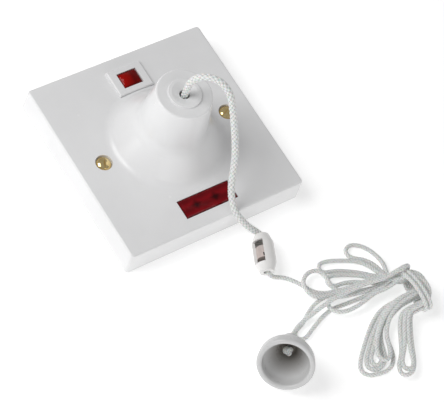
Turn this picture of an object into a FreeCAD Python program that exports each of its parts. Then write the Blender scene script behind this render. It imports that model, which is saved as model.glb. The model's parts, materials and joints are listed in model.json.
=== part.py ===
"""A ceiling pull cord switch, laid on its back with its cord loose beside it. Millimetres.

The origin is the middle of the square plate's rear face. +Z runs out of the plate to the
dome's nose, +X from the left fixing screw to the right one, and +Y towards the flag window.
The contacts are closed: pulling the cord turns the rotor a quarter turn and opens them.
"""

import FreeCAD, Part
import math
import os
import re

import Sketcher

Vector = FreeCAD.Vector
TINY = 0.01

# ------------------------------------------------------------------ driving dimensions

SIZES = {
    # plate
    "plate_width": 84.0, "plate_depth": 12.0, "plate_draft": 0.6, "plate_wall": 2.2,
    "side_wall": 2.2, "corner_radius": 1.6, "rim_radius": 0.9,
    # dome
    "dome_height": 32.5, "dome_top_radius": 11.6, "dome_waist_radius": 14.4,
    "dome_waist_height": 11.8, "dome_foot_radius": 23.6, "dome_wall": 2.2,
    "waist_fillet": 12.0, "foot_fillet": 5.0, "dome_edge_radius": 0.8,
    # fixing screws
    "fixing_centres": 60.3, "fixing_bore_radius": 1.95, "fixing_boss_radius": 4.5,
    "head_recess_radius": 3.6, "head_recess_depth": 1.6, "screw_radius": 1.75,
    "head_radius": 3.25, "head_height": 1.9, "screw_length": 9.8, "slot_width": 0.8,
    # clearances
    "trim_fit": 0.1, "sliding_fit": 0.06, "contact_gap": 0.3, "side_gap": 0.4, "root": 0.2,
    # bush
    "bush_flange_overlap": 2.0, "bush_flange_height": 0.8, "bush_sleeve_wall": 1.44,
    "funnel_rim": 1.5, "funnel_depth": 1.3, "cord_hole_play": 0.65, "cord_hole_length": 1.7,
    # cord
    "cord_diameter": 3.0, "thin_cord_diameter": 2.0,
    # plunger and its spring
    "pull_travel": 8.0, "pull_stop_gap": 0.6, "cord_play": 0.25, "plunger_tube_wall": 1.75,
    "guide_engagement": 2.8, "plunger_flange_overlap": 0.65, "plunger_flange_height": 2.0,
    "knot_cup_wall": 1.5, "knot_play": 0.5, "knot_cup_depth": 4.0, "knot_cup_floor": 0.4,
    "knot_radius": 2.6, "knot_cup_gap": 0.8,
    "arm_half_width": 1.8, "arm_thickness": 2.0, "arm_gap": 0.3,
    "nose_height": 1.0, "nose_reach": 0.8, "tooth_gap": 0.35,
    "spring_gap": 0.85, "spring_wire_radius": 0.35, "spring_turns": 7.0,
    # rotor
    "rotor_floor_gap": 0.7, "drum_radius": 1.9, "drum_length": 23.6, "axle_radius": 0.8,
    "wheel_tip_radius": 5.0, "wheel_root_radius": 3.2, "wheel_width": 3.6,
    "bar_half_length": 6.4, "bar_thickness": 2.0, "bar_width": 2.0, "bar_eye_radius": 3.3,
    "pole_spacing": 18.0, "cam_high": 6.5, "cam_low": 2.5, "cam_width": 1.6, "link_place": 6.0,
    # fixed contacts and terminals
    "tip_radius": 1.6, "tip_height": 1.0, "strip_width": 4.0, "strip_thickness": 1.0,
    "strip_height": 4.0, "terminal_across": 12.0, "terminal_near": 14.0, "terminal_width": 9.0,
    "terminal_length": 10.0, "terminal_headroom": 0.6, "cable_bore_radius": 2.6,
    "grub_radius": 2.0, "grub_length": 3.0,
    "earth_near": 15.5, "earth_width": 6.4, "earth_length": 7.5, "earth_height": 5.7,
    "earth_bore_radius": 1.8, "earth_grub_radius": 1.5,
    # rear base
    "base_lift": 0.3, "base_thickness": 1.5, "base_width": 44.0, "base_end_gap": 1.2,
    "cheek_thickness": 1.5, "cheek_length": 7.0, "cheek_above": 2.6, "cheek_gap": 0.4,
    "base_screw_across": 18.5, "base_screw_along": 29.0, "base_boss_radius": 3.0,
    "base_screw_radius": 1.2, "base_screw_length": 6.0, "base_head_radius": 2.2,
    "base_head_height": 0.9, "base_slot_width": 0.6,
    # flag
    "flag_place": 30.0, "bezel_width": 16.2, "bezel_length": 12.4, "bezel_height": 1.3,
    "bezel_wall": 0.8, "window_width": 9.2, "window_length": 7.3, "lens_top": 1.5,
    "lens_thickness": 2.2, "lens_bevel": 0.9, "flag_peek": 0.2, "flag_radius": 4.6,
    "flag_core_radius": 3.8, "flag_end_overlap": 0.2, "flag_pin_radius": 0.6, "crank_radius": 2.8,
    "crank_pin_radius": 0.7, "crank_pin_length": 2.5, "slot_play": 0.35, "post_thickness": 1.2,
    "post_length": 2.6, "post_above_pin": 0.7, "crank_root": 0.5,
    "fork_tip": 0.2, "flag_well": 0.8, "nose_gap": 0.7, "link_nose_radius": 0.8,
    "link_clearance": 0.6, "link_height": 1.8, "fork_wall": 1.2, "fork_roof": 0.5,
    "link_spring_radius": 1.0, "link_spring_wire": 0.2, "link_spring_turns": 6.0,
    # neon
    "neon_place": 32.2, "neon_width": 24.8, "neon_length": 8.4, "neon_proud": 0.3,
    "neon_bevel": 0.7, "neon_flange": 1.2, "neon_flange_height": 1.2, "lamp_radius": 2.1,
    "lamp_length": 15.0, "lamp_end_gap": 0.15, "lamp_gap": 0.5, "holder_floor": 1.6, "holder_wall": 1.5,
    "lead_radius": 0.6, "resistor_radius": 1.1, "resistor_length": 2.6,
    # connector
    "connector_x": 15.6, "connector_y": -53.0, "connector_heading": 245.0,
    "connector_length": 17.0, "connector_radius": 4.5, "connector_end_radius": 3.0,
    "connector_shoulder": 4.0, "connector_core_radius": 3.2, "connector_end_wall": 2.4,
    "connector_window": 4.4, "connector_cord_play": 0.2, "connector_lead_play": 0.4,
    "connector_lip": 1.2, "connector_core_length": 5.2, "connector_slant_width": 1.4,
    "connector_slant_reach": 6.0, "connector_slant_angle": 25.0,
    # pull knob
    "knob_x": -11.8, "knob_y": -108.4, "knob_heading": 40.6, "knob_radius": 12.0,
    "knob_skirt": 6.0, "knob_shoulder": 16.0, "knob_length": 20.5, "knob_neck_radius": 3.1,
    "knob_mouth_radius": 9.4, "knob_bowl_depth": 13.6, "knob_bore_radius": 1.25,
    "knob_knot_radius": 2.2, "knob_knot_play": 0.6, "knob_skirt_round": 6.0,
    "knob_shoulder_round": 3.5, "knob_lip_round": 1.1, "knob_wall_step": 1.0,
    # hank
    "hank_height": 6.0, "hank_front_height": 8.0, "hank_end_height": 4.0,
    "hank_tie_height": 9.0,
}

doc = FreeCAD.newDocument("pull_cord_switch")
sheet = doc.addObject("Spreadsheet::Sheet", "sizes")
for row, (alias, number) in enumerate(SIZES.items(), start=1):
    sheet.set(f"A{row}", alias)
    sheet.set(f"B{row}", str(number))
    sheet.setAlias(f"B{row}", alias)
doc.recompute()


def size(alias):
    """The number that the sheet holds for an alias"""
    return float(sheet.get(alias))


def formula(text):
    """A sheet expression in which each alias is written without the sheet's name"""
    def named(word):
        return "sizes." + word.group() if word.group() in SIZES else word.group()
    return re.sub(r"[a-z_]+", named, text)


# places that several pieces share, as expressions of the driving dimensions
BEHIND_PLATE = "(plate_depth - plate_wall)"
PLATE_INSIDE = "(plate_width / 2 + plate_draft - side_wall)"
DOME_TOP = "(plate_depth + dome_height)"
UNDER_DOME_TOP = f"({DOME_TOP} - dome_wall)"
BASE_TOP = "(base_lift + base_thickness)"
BASE_HALF_LENGTH = f"({PLATE_INSIDE} - base_end_gap)"
AXIS = f"({BASE_TOP} + rotor_floor_gap + cam_high)"
# the plunger stands over the rotor, and the bush's sleeve comes down to stop it
PLUNGER_BORE = "(cord_diameter / 2 + cord_play)"
TUBE_RADIUS = f"({PLUNGER_BORE} + plunger_tube_wall)"
GUIDE_RADIUS = f"({TUBE_RADIUS} + sliding_fit)"
SLEEVE_RADIUS = f"({GUIDE_RADIUS} + bush_sleeve_wall)"
BUSH_RADIUS = f"({SLEEVE_RADIUS} + bush_flange_overlap)"
SPRING_RADIUS = f"({SLEEVE_RADIUS} + spring_gap + spring_wire_radius)"
FLANGE_RADIUS = f"({SPRING_RADIUS} + spring_wire_radius + plunger_flange_overlap)"
KNOT_POCKET = "(knot_radius + knot_play)"
FLANGE_FOOT = f"({AXIS} + cam_high + knot_cup_gap + knot_cup_depth)"
FLANGE_TOP = f"({FLANGE_FOOT} + plunger_flange_height)"
KNOT_TOP = f"({FLANGE_FOOT} - knot_cup_floor)"
GUIDE_FOOT = f"({FLANGE_TOP} + pull_travel + pull_stop_gap)"
GUIDE_TOP = f"({DOME_TOP} + bush_flange_height - funnel_depth - cord_hole_length)"
ARM_NEAR = "(wheel_tip_radius + arm_gap)"
NOSE_TOP = f"({AXIS} - pull_travel / 2 - tooth_gap)"
TIP_FACE = "(bar_half_length + contact_gap)"
STRIP_FACE = f"({TIP_FACE} + tip_height)"
POLE = "(pole_spacing / 2)"
TERMINAL_MIDDLE = "(terminal_near + terminal_length / 2)"
EARTH_MIDDLE = "(earth_near + earth_length / 2)"
CHEEK_INNER = "(drum_length / 2 + cheek_gap)"
LINK_THROW = "(cam_high - cam_low)"
LINK_NOSE = "(cam_high + nose_gap)"
PIN_OFFSET = f"({LINK_THROW} / 2)"
FORK_MIDDLE = f"(flag_place + {PIN_OFFSET})"
FORK_HALF = "(crank_pin_radius + slot_play + fork_wall)"
FLAG_AXIS = f"({BEHIND_PLATE} + flag_peek - flag_radius)"
LINK_LOW = f"({FLAG_AXIS} + flag_pin_radius + link_clearance)"
FORK_TOP = f"({FLAG_AXIS} + crank_radius + crank_pin_radius + slot_play + fork_tip)"
NEON_Y = "(0 - neon_place)"
FLAG_WIDTH = "(window_width - 2 * flag_end_overlap)"
LAMP_HEIGHT = f"({BEHIND_PLATE} - neon_flange_height - lamp_gap - lamp_radius)"
TERMINAL_TOP = f"({BEHIND_PLATE} - terminal_headroom)"

nodes = {}


def node(name, item):
    """Give a finished sub-part its label and list it for export"""
    item.Label = name
    nodes[name] = item
    return item


# ------------------------------------------------------------------ primitives

def bind(item, place, **lengths):
    """Bind an object's sizes and the place of its origin to the sheet"""
    for name, text in lengths.items():
        item.setExpression(name, formula(text))
    for letter, text in zip("xyz", place):
        item.setExpression(f"Placement.Base.{letter}", formula(text))
    return item


def box(name, low, high):
    """A block between its lowest and its highest corner"""
    spans = [f"({top}) - ({bottom})" for bottom, top in zip(low, high)]
    item = doc.addObject("Part::Box", name)
    return bind(item, low, Length=spans[0], Width=spans[1], Height=spans[2])


ALONG = {
    "X": FreeCAD.Rotation(Vector(0, 1, 0), 90),
    "Y": FreeCAD.Rotation(Vector(1, 0, 0), -90),
    "Z": FreeCAD.Rotation(),
}


def rod(name, place, radius, length, along="Z"):
    """A round bar that starts at a place and runs along +X, +Y or +Z"""
    item = doc.addObject("Part::Cylinder", name)
    item.Placement.Rotation = ALONG[along]
    return bind(item, place, Radius=radius, Height=length)


def joined(name, pieces):
    item = doc.addObject("Part::MultiFuse", name)
    item.Shapes = pieces
    return item


def cut(name, base, tools):
    item = doc.addObject("Part::Cut", name)
    item.Base = base
    item.Tool = tools[0] if len(tools) == 1 else joined(name + "_tools", tools)
    return item


def group(name, pieces):
    item = doc.addObject("Part::Compound", name)
    item.Links = pieces
    return item


# ------------------------------------------------------------------ bodies and sketches

def body(name):
    return doc.addObject("PartDesign::Body", name)


def sketch(owner, name, role, offset="0"):
    """A sketch on one of its own body's planes, moved along that plane's normal"""
    drawn = owner.newObject("Sketcher::SketchObject", f"{owner.Name}_{name}")
    plane = next(item for item in owner.Origin.OriginFeatures if item.Role == role)
    drawn.AttachmentSupport = (plane, [""])
    drawn.MapMode = "FlatFace"
    drawn.setExpression("AttachmentOffset.Base.z", formula(offset))
    return drawn


def pin_down(drawn, index, point, label, place):
    """Hold one point of a sketch at two expressions"""
    for letter, text in zip("xy", place):
        name = f"{label}_{letter}"
        kind = "Distance" + letter.upper()
        constraint = drawn.addConstraint(Sketcher.Constraint(kind, -1, 1, index, point, 1.0))
        drawn.renameConstraint(constraint, name)
        drawn.setExpression(f"Constraints.{name}", formula(text))


def outline(drawn, corners):
    """A closed outline of straight edges through corners given as expressions"""
    first = drawn.GeometryCount
    count = len(corners)
    start = [Vector(math.cos(2 * math.pi * i / count), math.sin(2 * math.pi * i / count), 0)
             for i in range(count)]
    for i in range(count):
        drawn.addGeometry(Part.LineSegment(start[i], start[(i + 1) % count]), False)
    for i in range(count):
        joint = Sketcher.Constraint("Coincident", first + i, 2, first + (i + 1) % count, 1)
        drawn.addConstraint(joint)
    for i, corner in enumerate(corners):
        pin_down(drawn, first + i, 1, f"corner_{chr(97 + first + i)}", corner)
    return drawn


def rectangle(drawn, x, y, half_x, half_y):
    west, east = f"({x}) - ({half_x})", f"({x}) + ({half_x})"
    south, north = f"({y}) - ({half_y})", f"({y}) + ({half_y})"
    return outline(drawn, [(west, south), (east, south), (east, north), (west, north)])


def circle(drawn, x, y, radius):
    index = drawn.addGeometry(Part.Circle(Vector(0, 0, 0), Vector(0, 0, 1), 1.0), False)
    pin_down(drawn, index, 3, f"middle_{chr(97 + index)}", (x, y))
    constraint = drawn.addConstraint(Sketcher.Constraint("Radius", index, 1.0))
    name = f"radius_{chr(97 + index)}"
    drawn.renameConstraint(constraint, name)
    drawn.setExpression(f"Constraints.{name}", formula(radius))
    return drawn


def pad(owner, drawn, length, down=False, taper=None, middle=False):
    item = owner.newObject("PartDesign::Pad", drawn.Name + "_pad")
    item.Profile = drawn
    item.Reversed = down
    item.Midplane = middle
    item.setExpression("Length", formula(length))
    if taper:
        item.setExpression("TaperAngle", formula(taper))
    return item


def pocket(owner, drawn, length, up=False, taper=None, middle=False):
    """A pocket runs against its sketch's normal, or along it when up is true"""
    item = owner.newObject("PartDesign::Pocket", drawn.Name + "_pocket")
    item.Profile = drawn
    item.Reversed = up
    item.Midplane = middle
    item.setExpression("Length", formula(length))
    if taper:
        item.setExpression("TaperAngle", formula(taper))
    return item


def turned(owner, drawn, kind="PartDesign::Revolution"):
    item = owner.newObject(kind, drawn.Name + "_turn")
    item.Profile = drawn
    item.ReferenceAxis = (drawn, ["V_Axis"])
    item.Angle = 360
    return item


def fillet(owner, radius, wanted):
    """Round the edges of the body so far that a test picks out"""
    doc.recompute()
    base = owner.Tip
    item = owner.newObject("PartDesign::Fillet", f"{base.Name}_fillet")
    edges = base.Shape.Edges
    names = [f"Edge{i + 1}" for i, edge in enumerate(edges) if wanted(edge)]
    item.Base = (base, names)
    item.setExpression("Radius", formula(radius))
    return item


def flat_at(edge, height):
    """Whether an edge lies in one level plane at a height"""
    bounds = edge.BoundBox
    return abs(bounds.ZMin - height) < TINY and abs(bounds.ZMax - height) < TINY


def round_at(edge, radius, height):
    return flat_at(edge, height) and abs(edge.BoundBox.XMax - radius) < TINY


# ------------------------------------------------------------------ cover

def front_cover():
    """Square plate with the dome flaring out of it, hollow behind"""
    cover = body("front_cover")
    depth = size("plate_depth")
    taper = "-1 * atan(plate_draft / plate_depth)"
    half = "plate_width / 2 + plate_draft"
    pad(cover, rectangle(sketch(cover, "plate", "XY_Plane"), "0", "0", half, half),
        "plate_depth", taper=taper)
    fillet(cover, "corner_radius", lambda edge: edge.BoundBox.ZLength > depth - TINY)
    dome = [
        ("0", "plate_depth - root"),
        ("dome_foot_radius", "plate_depth - root"),
        ("dome_foot_radius", "plate_depth"),
        ("dome_waist_radius", "plate_depth + dome_waist_height"),
        ("dome_top_radius", DOME_TOP),
        ("0", DOME_TOP),
    ]
    turned(cover, outline(sketch(cover, "dome", "XZ_Plane"), dome))
    waist = depth + size("dome_waist_height")
    top = depth + size("dome_height")
    fillet(cover, "waist_fillet", lambda edge: round_at(edge, size("dome_waist_radius"), waist))
    fillet(cover, "foot_fillet", lambda edge: round_at(edge, size("dome_foot_radius"), depth))
    fillet(cover, "dome_edge_radius", lambda edge: flat_at(edge, top))
    outer = size("plate_width") / 2 - size("corner_radius") - 1
    fillet(cover, "rim_radius",
           lambda edge: flat_at(edge, depth) and max(edge.BoundBox.XMax, edge.BoundBox.YMax,
                                                     -edge.BoundBox.XMin, -edge.BoundBox.YMin) > outer)
    hollow = rectangle(sketch(cover, "hollow", "XY_Plane"), "0", "0", PLATE_INSIDE, PLATE_INSIDE)
    pocket(cover, hollow, BEHIND_PLATE, up=True, taper=taper)
    inside = [
        ("0", f"{BEHIND_PLATE} - root"),
        ("dome_foot_radius - 1.25 * dome_wall", f"{BEHIND_PLATE} - root"),
        ("dome_foot_radius - 1.25 * dome_wall", "plate_depth"),
        ("dome_waist_radius - dome_wall", "plate_depth + dome_waist_height - 0.4 * dome_wall"),
        ("dome_top_radius - dome_wall", UNDER_DOME_TOP),
        ("0", UNDER_DOME_TOP),
    ]
    turned(cover, outline(sketch(cover, "dome_inside", "XZ_Plane"), inside), "PartDesign::Groove")

    fixing = "fixing_centres / 2"
    bosses = sketch(cover, "fixing_bosses", "XY_Plane")
    for side in ("", "0 - "):
        circle(bosses, f"{side}{fixing}", "0", "fixing_boss_radius")
    pad(cover, bosses, f"{BEHIND_PLATE} + root")
    bosses = sketch(cover, "base_bosses", "XY_Plane", BASE_TOP)
    for x in ("", "0 - "):
        for y in ("", "0 - "):
            circle(bosses, f"{x}base_screw_across", f"{y}base_screw_along", "base_boss_radius")
    pad(cover, bosses, f"{BEHIND_PLATE} + root - {BASE_TOP}")

    holes = sketch(cover, "fixing_holes", "XY_Plane")
    for side in ("", "0 - "):
        circle(holes, f"{side}{fixing}", "0", "fixing_bore_radius")
    pocket(cover, holes, "plate_depth + 1", up=True)
    recesses = sketch(cover, "head_recesses", "XY_Plane", "plate_depth")
    for side in ("", "0 - "):
        circle(recesses, f"{side}{fixing}", "0", "head_recess_radius")
    pocket(cover, recesses, "head_recess_depth")
    pilots = sketch(cover, "pilot_holes", "XY_Plane", BASE_TOP)
    for x in ("", "0 - "):
        for y in ("", "0 - "):
            circle(pilots, f"{x}base_screw_across", f"{y}base_screw_along", "base_screw_radius")
    pocket(cover, pilots, "base_screw_length", up=True)
    nose = circle(sketch(cover, "nose_hole", "XY_Plane", DOME_TOP), "0", "0",
                  f"{SLEEVE_RADIUS} + trim_fit")
    pocket(cover, nose, "dome_wall + 1")
    seat = rectangle(sketch(cover, "bezel_seat", "XY_Plane", "plate_depth + 4"), "0", "flag_place",
                     "bezel_width / 2 + trim_fit", "bezel_length / 2 + trim_fit")
    pocket(cover, seat, "4")
    window = rectangle(sketch(cover, "flag_hole", "XY_Plane", "plate_depth"), "0", "flag_place",
                       "window_width / 2 + bezel_wall + trim_fit",
                       "window_length / 2 + bezel_wall + trim_fit")
    pocket(cover, window, "plate_wall + 1")
    slot = rectangle(sketch(cover, "neon_hole", "XY_Plane", "plate_depth"), "0", NEON_Y,
                     "neon_width / 2 + trim_fit", "neon_length / 2 + trim_fit")
    pocket(cover, slot, "plate_wall + 1")
    return node("front_cover", cover)


def cord_bush():
    """Ring and funnel in the dome's nose, with the sleeve that guides the plunger"""
    bush = body("cord_bush")
    profile = [
        (GUIDE_RADIUS, GUIDE_FOOT),
        (SLEEVE_RADIUS, GUIDE_FOOT),
        (SLEEVE_RADIUS, DOME_TOP),
        (BUSH_RADIUS, DOME_TOP),
        (BUSH_RADIUS, f"{DOME_TOP} + bush_flange_height"),
        (f"{BUSH_RADIUS} - funnel_rim", f"{DOME_TOP} + bush_flange_height"),
        ("cord_diameter / 2 + cord_hole_play", f"{GUIDE_TOP} + cord_hole_length"),
        ("cord_diameter / 2 + cord_hole_play", GUIDE_TOP),
        (GUIDE_RADIUS, GUIDE_TOP),
    ]
    turned(bush, outline(sketch(bush, "profile", "XZ_Plane"), profile))
    top = size("plate_depth") + size("dome_height") + size("bush_flange_height")
    fillet(bush, "bush_flange_height / 2", lambda edge: flat_at(edge, top))
    return node("cord_bush", bush)


def screw(name, place, radius, length, head_radius, head_height, slot, upright=True):
    """A slotted screw whose head's underside is at a place, pointing down when upright"""
    x, y, z = place
    low = f"({z}) - ({length})" if upright else z
    head = z if upright else f"({z}) - ({head_height})"
    shank = rod(name + "_shank", (x, y, low), radius, length)
    cap = rod(name + "_head", (x, y, head), head_radius, head_height)
    deep = f"0.45 * ({head_height})"
    bottom = f"({z}) + ({head_height}) - {deep}" if upright else f"({z}) - ({head_height}) - 1"
    top = f"({z}) + ({head_height}) + 1" if upright else f"({z}) - ({head_height}) + {deep}"
    groove = box(name + "_slot", (f"{x} - {slot} / 2", f"{y} - {head_radius} - 1", bottom),
                 (f"{x} + {slot} / 2", f"{y} + {head_radius} + 1", top))
    return cut(name, joined(name + "_blank", [shank, cap]), [groove])


def fixing_screws():
    pair = [screw(f"fixing_screw_{number}", (f"{side}fixing_centres / 2", "0",
                                            "plate_depth - head_recess_depth"),
                  "screw_radius", "screw_length", "head_radius", "head_height", "slot_width")
            for number, side in enumerate(("", "0 - "), start=1)]
    return node("fixing_screws", group("fixing_screws", pair))


# ------------------------------------------------------------------ rear base

def rear_base():
    """Moulded base: carries the rotor's cheeks and the flag's posts, and closes the back"""
    base = body("rear_base")
    pad(base, rectangle(sketch(base, "floor", "XY_Plane", "base_lift"), "0", "0",
                        "base_width / 2", BASE_HALF_LENGTH), "base_thickness")
    cheeks = sketch(base, "cheeks", "XY_Plane", f"{BASE_TOP} - root")
    middle = f"({CHEEK_INNER} + cheek_thickness / 2)"
    for side in ("", "0 - "):
        rectangle(cheeks, f"{side}{middle}", "0", "cheek_thickness / 2", "cheek_length / 2")
    pad(base, cheeks, f"{AXIS} + cheek_above - {BASE_TOP} + root")
    posts = sketch(base, "flag_posts", "XY_Plane", f"{BASE_TOP} - root")
    rectangle(posts, f"0 - {FLAG_WIDTH} / 2 - side_gap - post_thickness / 2", "flag_place",
              "post_thickness / 2", "post_length / 2")
    rectangle(posts, "link_place + cam_width / 2 + side_gap + post_thickness / 2", "flag_place",
              "post_thickness / 2", "post_length / 2")
    pad(base, posts, f"{FLAG_AXIS} + flag_pin_radius + post_above_pin - {BASE_TOP} + root")
    well = rectangle(sketch(base, "flag_well", "XY_Plane", BASE_TOP), "0", "flag_place",
                     f"{FLAG_WIDTH} / 2 + side_gap", "flag_radius + side_gap")
    pocket(base, well, "flag_well")
    access = sketch(base, "screw_access", "XY_Plane", "base_lift")
    for x in ("", "0 - "):
        for y in ("", "0 - "):
            circle(access, f"{x}terminal_across", f"{y}{TERMINAL_MIDDLE}", "grub_radius + side_gap")
            circle(access, f"{x}base_screw_across", f"{y}base_screw_along",
                   "base_screw_radius + trim_fit")
    circle(access, "0", f"0 - {EARTH_MIDDLE}", "earth_grub_radius + side_gap")
    pocket(base, access, "base_thickness + 1", up=True)
    counterbores = sketch(base, "counterbores", "XY_Plane", "base_lift")
    for x in ("", "0 - "):
        for y in ("", "0 - "):
            circle(counterbores, f"{x}base_screw_across", f"{y}base_screw_along",
                   "base_head_radius + trim_fit")
    pocket(base, counterbores, "base_head_height", up=True)
    bearings = circle(sketch(base, "bearings", "YZ_Plane"), "0", AXIS,
                      "axle_radius + sliding_fit")
    pocket(base, bearings, "base_width", middle=True)
    pivots = circle(sketch(base, "pivots", "YZ_Plane"), "flag_place", FLAG_AXIS,
                    "flag_pin_radius")
    pocket(base, pivots, "base_width", middle=True)
    return node("rear_base", base)


def base_screws():
    places = [(f"{x}base_screw_across", f"{y}base_screw_along")
              for x in ("", "0 - ") for y in ("", "0 - ")]
    four = [screw(f"base_screw_{number}", (x, y, "base_lift + base_head_height"),
                  "base_screw_radius", "base_screw_length", "base_head_radius",
                  "base_head_height", "base_slot_width", upright=False)
            for number, (x, y) in enumerate(places, start=1)]
    return node("base_screws", group("base_screws", four))


# ------------------------------------------------------------------ plunger

def plunger():
    """Tube, flange and knot cup in one, with the arm whose nose pushes the ratchet wheel"""
    item = body("plunger")
    profile = [
        (PLUNGER_BORE, f"{GUIDE_FOOT} + guide_engagement"),
        (TUBE_RADIUS, f"{GUIDE_FOOT} + guide_engagement"),
        (TUBE_RADIUS, FLANGE_TOP),
        (FLANGE_RADIUS, FLANGE_TOP),
        (FLANGE_RADIUS, FLANGE_FOOT),
        (f"{KNOT_POCKET} + knot_cup_wall", FLANGE_FOOT),
        (f"{KNOT_POCKET} + knot_cup_wall", f"{FLANGE_FOOT} - knot_cup_depth"),
        (KNOT_POCKET, f"{FLANGE_FOOT} - knot_cup_depth"),
        (KNOT_POCKET, KNOT_TOP),
        (PLUNGER_BORE, KNOT_TOP),
    ]
    turned(item, outline(sketch(item, "profile", "XZ_Plane"), profile))
    arm = rectangle(sketch(item, "arm", "XY_Plane", f"{FLANGE_FOOT} + root"), "0",
                    f"{ARM_NEAR} + arm_thickness / 2", "arm_half_width", "arm_thickness / 2")
    pad(item, arm, f"{FLANGE_FOOT} + root - {NOSE_TOP} + nose_height", down=True)
    nose = rectangle(sketch(item, "nose", "XY_Plane", NOSE_TOP), "0",
                     f"{ARM_NEAR} - nose_reach / 2 + root / 2", "arm_half_width - root",
                     "nose_reach / 2 + root / 2")
    pad(item, nose, "nose_height", down=True)
    return node("plunger", item)


def plunger_knot():
    """The knot that the cord pulls the plunger up by"""
    item = doc.addObject("Part::Sphere", "plunger_knot")
    bind(item, ("0", "0", f"{KNOT_TOP} - knot_radius"), Radius="knot_radius")
    return node("plunger_knot", item)


def coil(name, place, radius, wire, length, turns, along="Z"):
    """A round-wire spring between its two ends' centre planes, swept a turn at a time"""
    helix = doc.addObject("Part::Helix", name + "_line")
    helix.Placement.Rotation = ALONG[along]
    helix.SegmentLength = 1
    bind(helix, place, Radius=radius, Height=length, Pitch=f"({length}) / ({turns})")
    doc.recompute()
    section = doc.addObject("Part::Circle", name + "_section")
    bind(section, ("0", "0", "0"), Radius=wire)
    across = FreeCAD.Rotation(Vector(1, 0, 0), 90)
    section.Placement.Rotation = ALONG[along].multiply(across)
    side = {"X": (0, 0, -1), "Y": (1, 0, 0), "Z": (1, 0, 0)}[along]
    for letter, text, share in zip("xyz", place, side):
        section.setExpression(f"Placement.Base.{letter}", formula(f"{text} + {share} * ({radius})"))
    item = doc.addObject("Part::Sweep", name)
    item.Sections = [section]
    item.Spine = (helix, [f"Edge{i + 1}" for i in range(len(helix.Shape.Edges))])
    item.Solid = True
    item.Frenet = True
    return node(name, item)


def return_spring():
    """Coil round the bush's sleeve, from the plunger's flange to the inside of the dome"""
    return coil("return_spring", ("0", "0", f"{FLANGE_TOP} + spring_wire_radius"),
                SPRING_RADIUS, "spring_wire_radius",
                f"{UNDER_DOME_TOP} - {FLANGE_TOP} - 2 * spring_wire_radius", "spring_turns")


# ------------------------------------------------------------------ rotor

def round_axis(radius, degrees):
    """A point of a sketch across the rotor, at a radius and an angle up from +Y"""
    return (f"({radius}) * cos({degrees} deg)", f"{AXIS} + ({radius}) * sin({degrees} deg)")


def ratchet_wheel():
    """Four saw teeth: a square face for the nose, then a slope down to the next root"""
    wheel = body("ratchet_wheel")
    corners = []
    for tooth in range(4):
        face = -45 + 90 * tooth
        corners.append(round_axis("wheel_root_radius", face))
        corners.append(round_axis("wheel_tip_radius", face))
        corners.append(round_axis("0.72 * wheel_tip_radius + 0.28 * wheel_root_radius", face + 25))
        corners.append(round_axis("0.3 * wheel_tip_radius + 0.7 * wheel_root_radius", face + 55))
    drawn = outline(sketch(wheel, "teeth", "YZ_Plane"), corners)
    circle(drawn, "0", AXIS, "drum_radius")
    pad(wheel, drawn, "wheel_width", middle=True)
    return node("ratchet_wheel", wheel)


def flag_cam():
    """Two lobes whose radius falls evenly from high to low over each quarter turn"""
    cam = body("flag_cam")
    corners = []
    for step in range(24):
        angle = 15 * step
        quarter = angle % 180 / 90
        share = quarter if quarter <= 1 else 2 - quarter
        corners.append(round_axis(f"cam_high - {share:.4f} * {LINK_THROW}", angle))
    drawn = outline(sketch(cam, "lobes", "YZ_Plane", "link_place - cam_width / 2"), corners)
    circle(drawn, "0", AXIS, "drum_radius")
    pad(cam, drawn, "cam_width")
    return node("flag_cam", cam)


def rotor_drum():
    blank = rod("rotor_blank", ("0 - drum_length / 2", "0", AXIS), "drum_radius",
                "drum_length", "X")
    bore = rod("rotor_bore", ("0 - drum_length", "0", AXIS), "axle_radius",
               "2 * drum_length", "X")
    return node("rotor_drum", cut("rotor_drum", blank, [bore]))


def rotor_axle():
    reach = f"({CHEEK_INNER} + cheek_thickness)"
    return node("rotor_axle", rod("rotor_axle", (f"0 - {reach}", "0", AXIS),
                                  "axle_radius", f"2 * {reach}", "X"))


def bridge_contacts():
    """Two copper bars, each with an eye on the drum, that bridge a pole's fixed contacts"""
    for number, side in enumerate(("", "0 - "), start=1):
        name = f"bridge_contact_{number}"
        west = f"{side}{POLE} - bar_width / 2"
        bar = box(name + "_bar", (west, "0 - bar_half_length", f"{AXIS} - bar_thickness / 2"),
                  (f"{side}{POLE} + bar_width / 2", "bar_half_length",
                   f"{AXIS} + bar_thickness / 2"))
        eye = rod(name + "_eye", (west, "0", AXIS), "bar_eye_radius", "bar_width", "X")
        bore = rod(name + "_bore", (f"{west} - 1", "0", AXIS), "drum_radius",
                   "bar_width + 2", "X")
        node(name, cut(name, joined(name + "_blank", [bar, eye]), [bore]))


def backstop_spring():
    """A leaf that stands on the base beside the wheel"""
    near = "0 - wheel_tip_radius - 0.9"
    foot = box("backstop_foot", ("0 - arm_half_width", f"{near} - 3", BASE_TOP),
               ("arm_half_width", near, f"{BASE_TOP} + 0.4"))
    leaf = box("backstop_leaf", ("0 - arm_half_width", f"{near} - 0.1", BASE_TOP),
               ("arm_half_width", f"{near} + 0.3", f"{AXIS} + 1"))
    return node("backstop_spring", joined("backstop_spring", [foot, leaf]))


# ------------------------------------------------------------------ contacts and terminals

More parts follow.
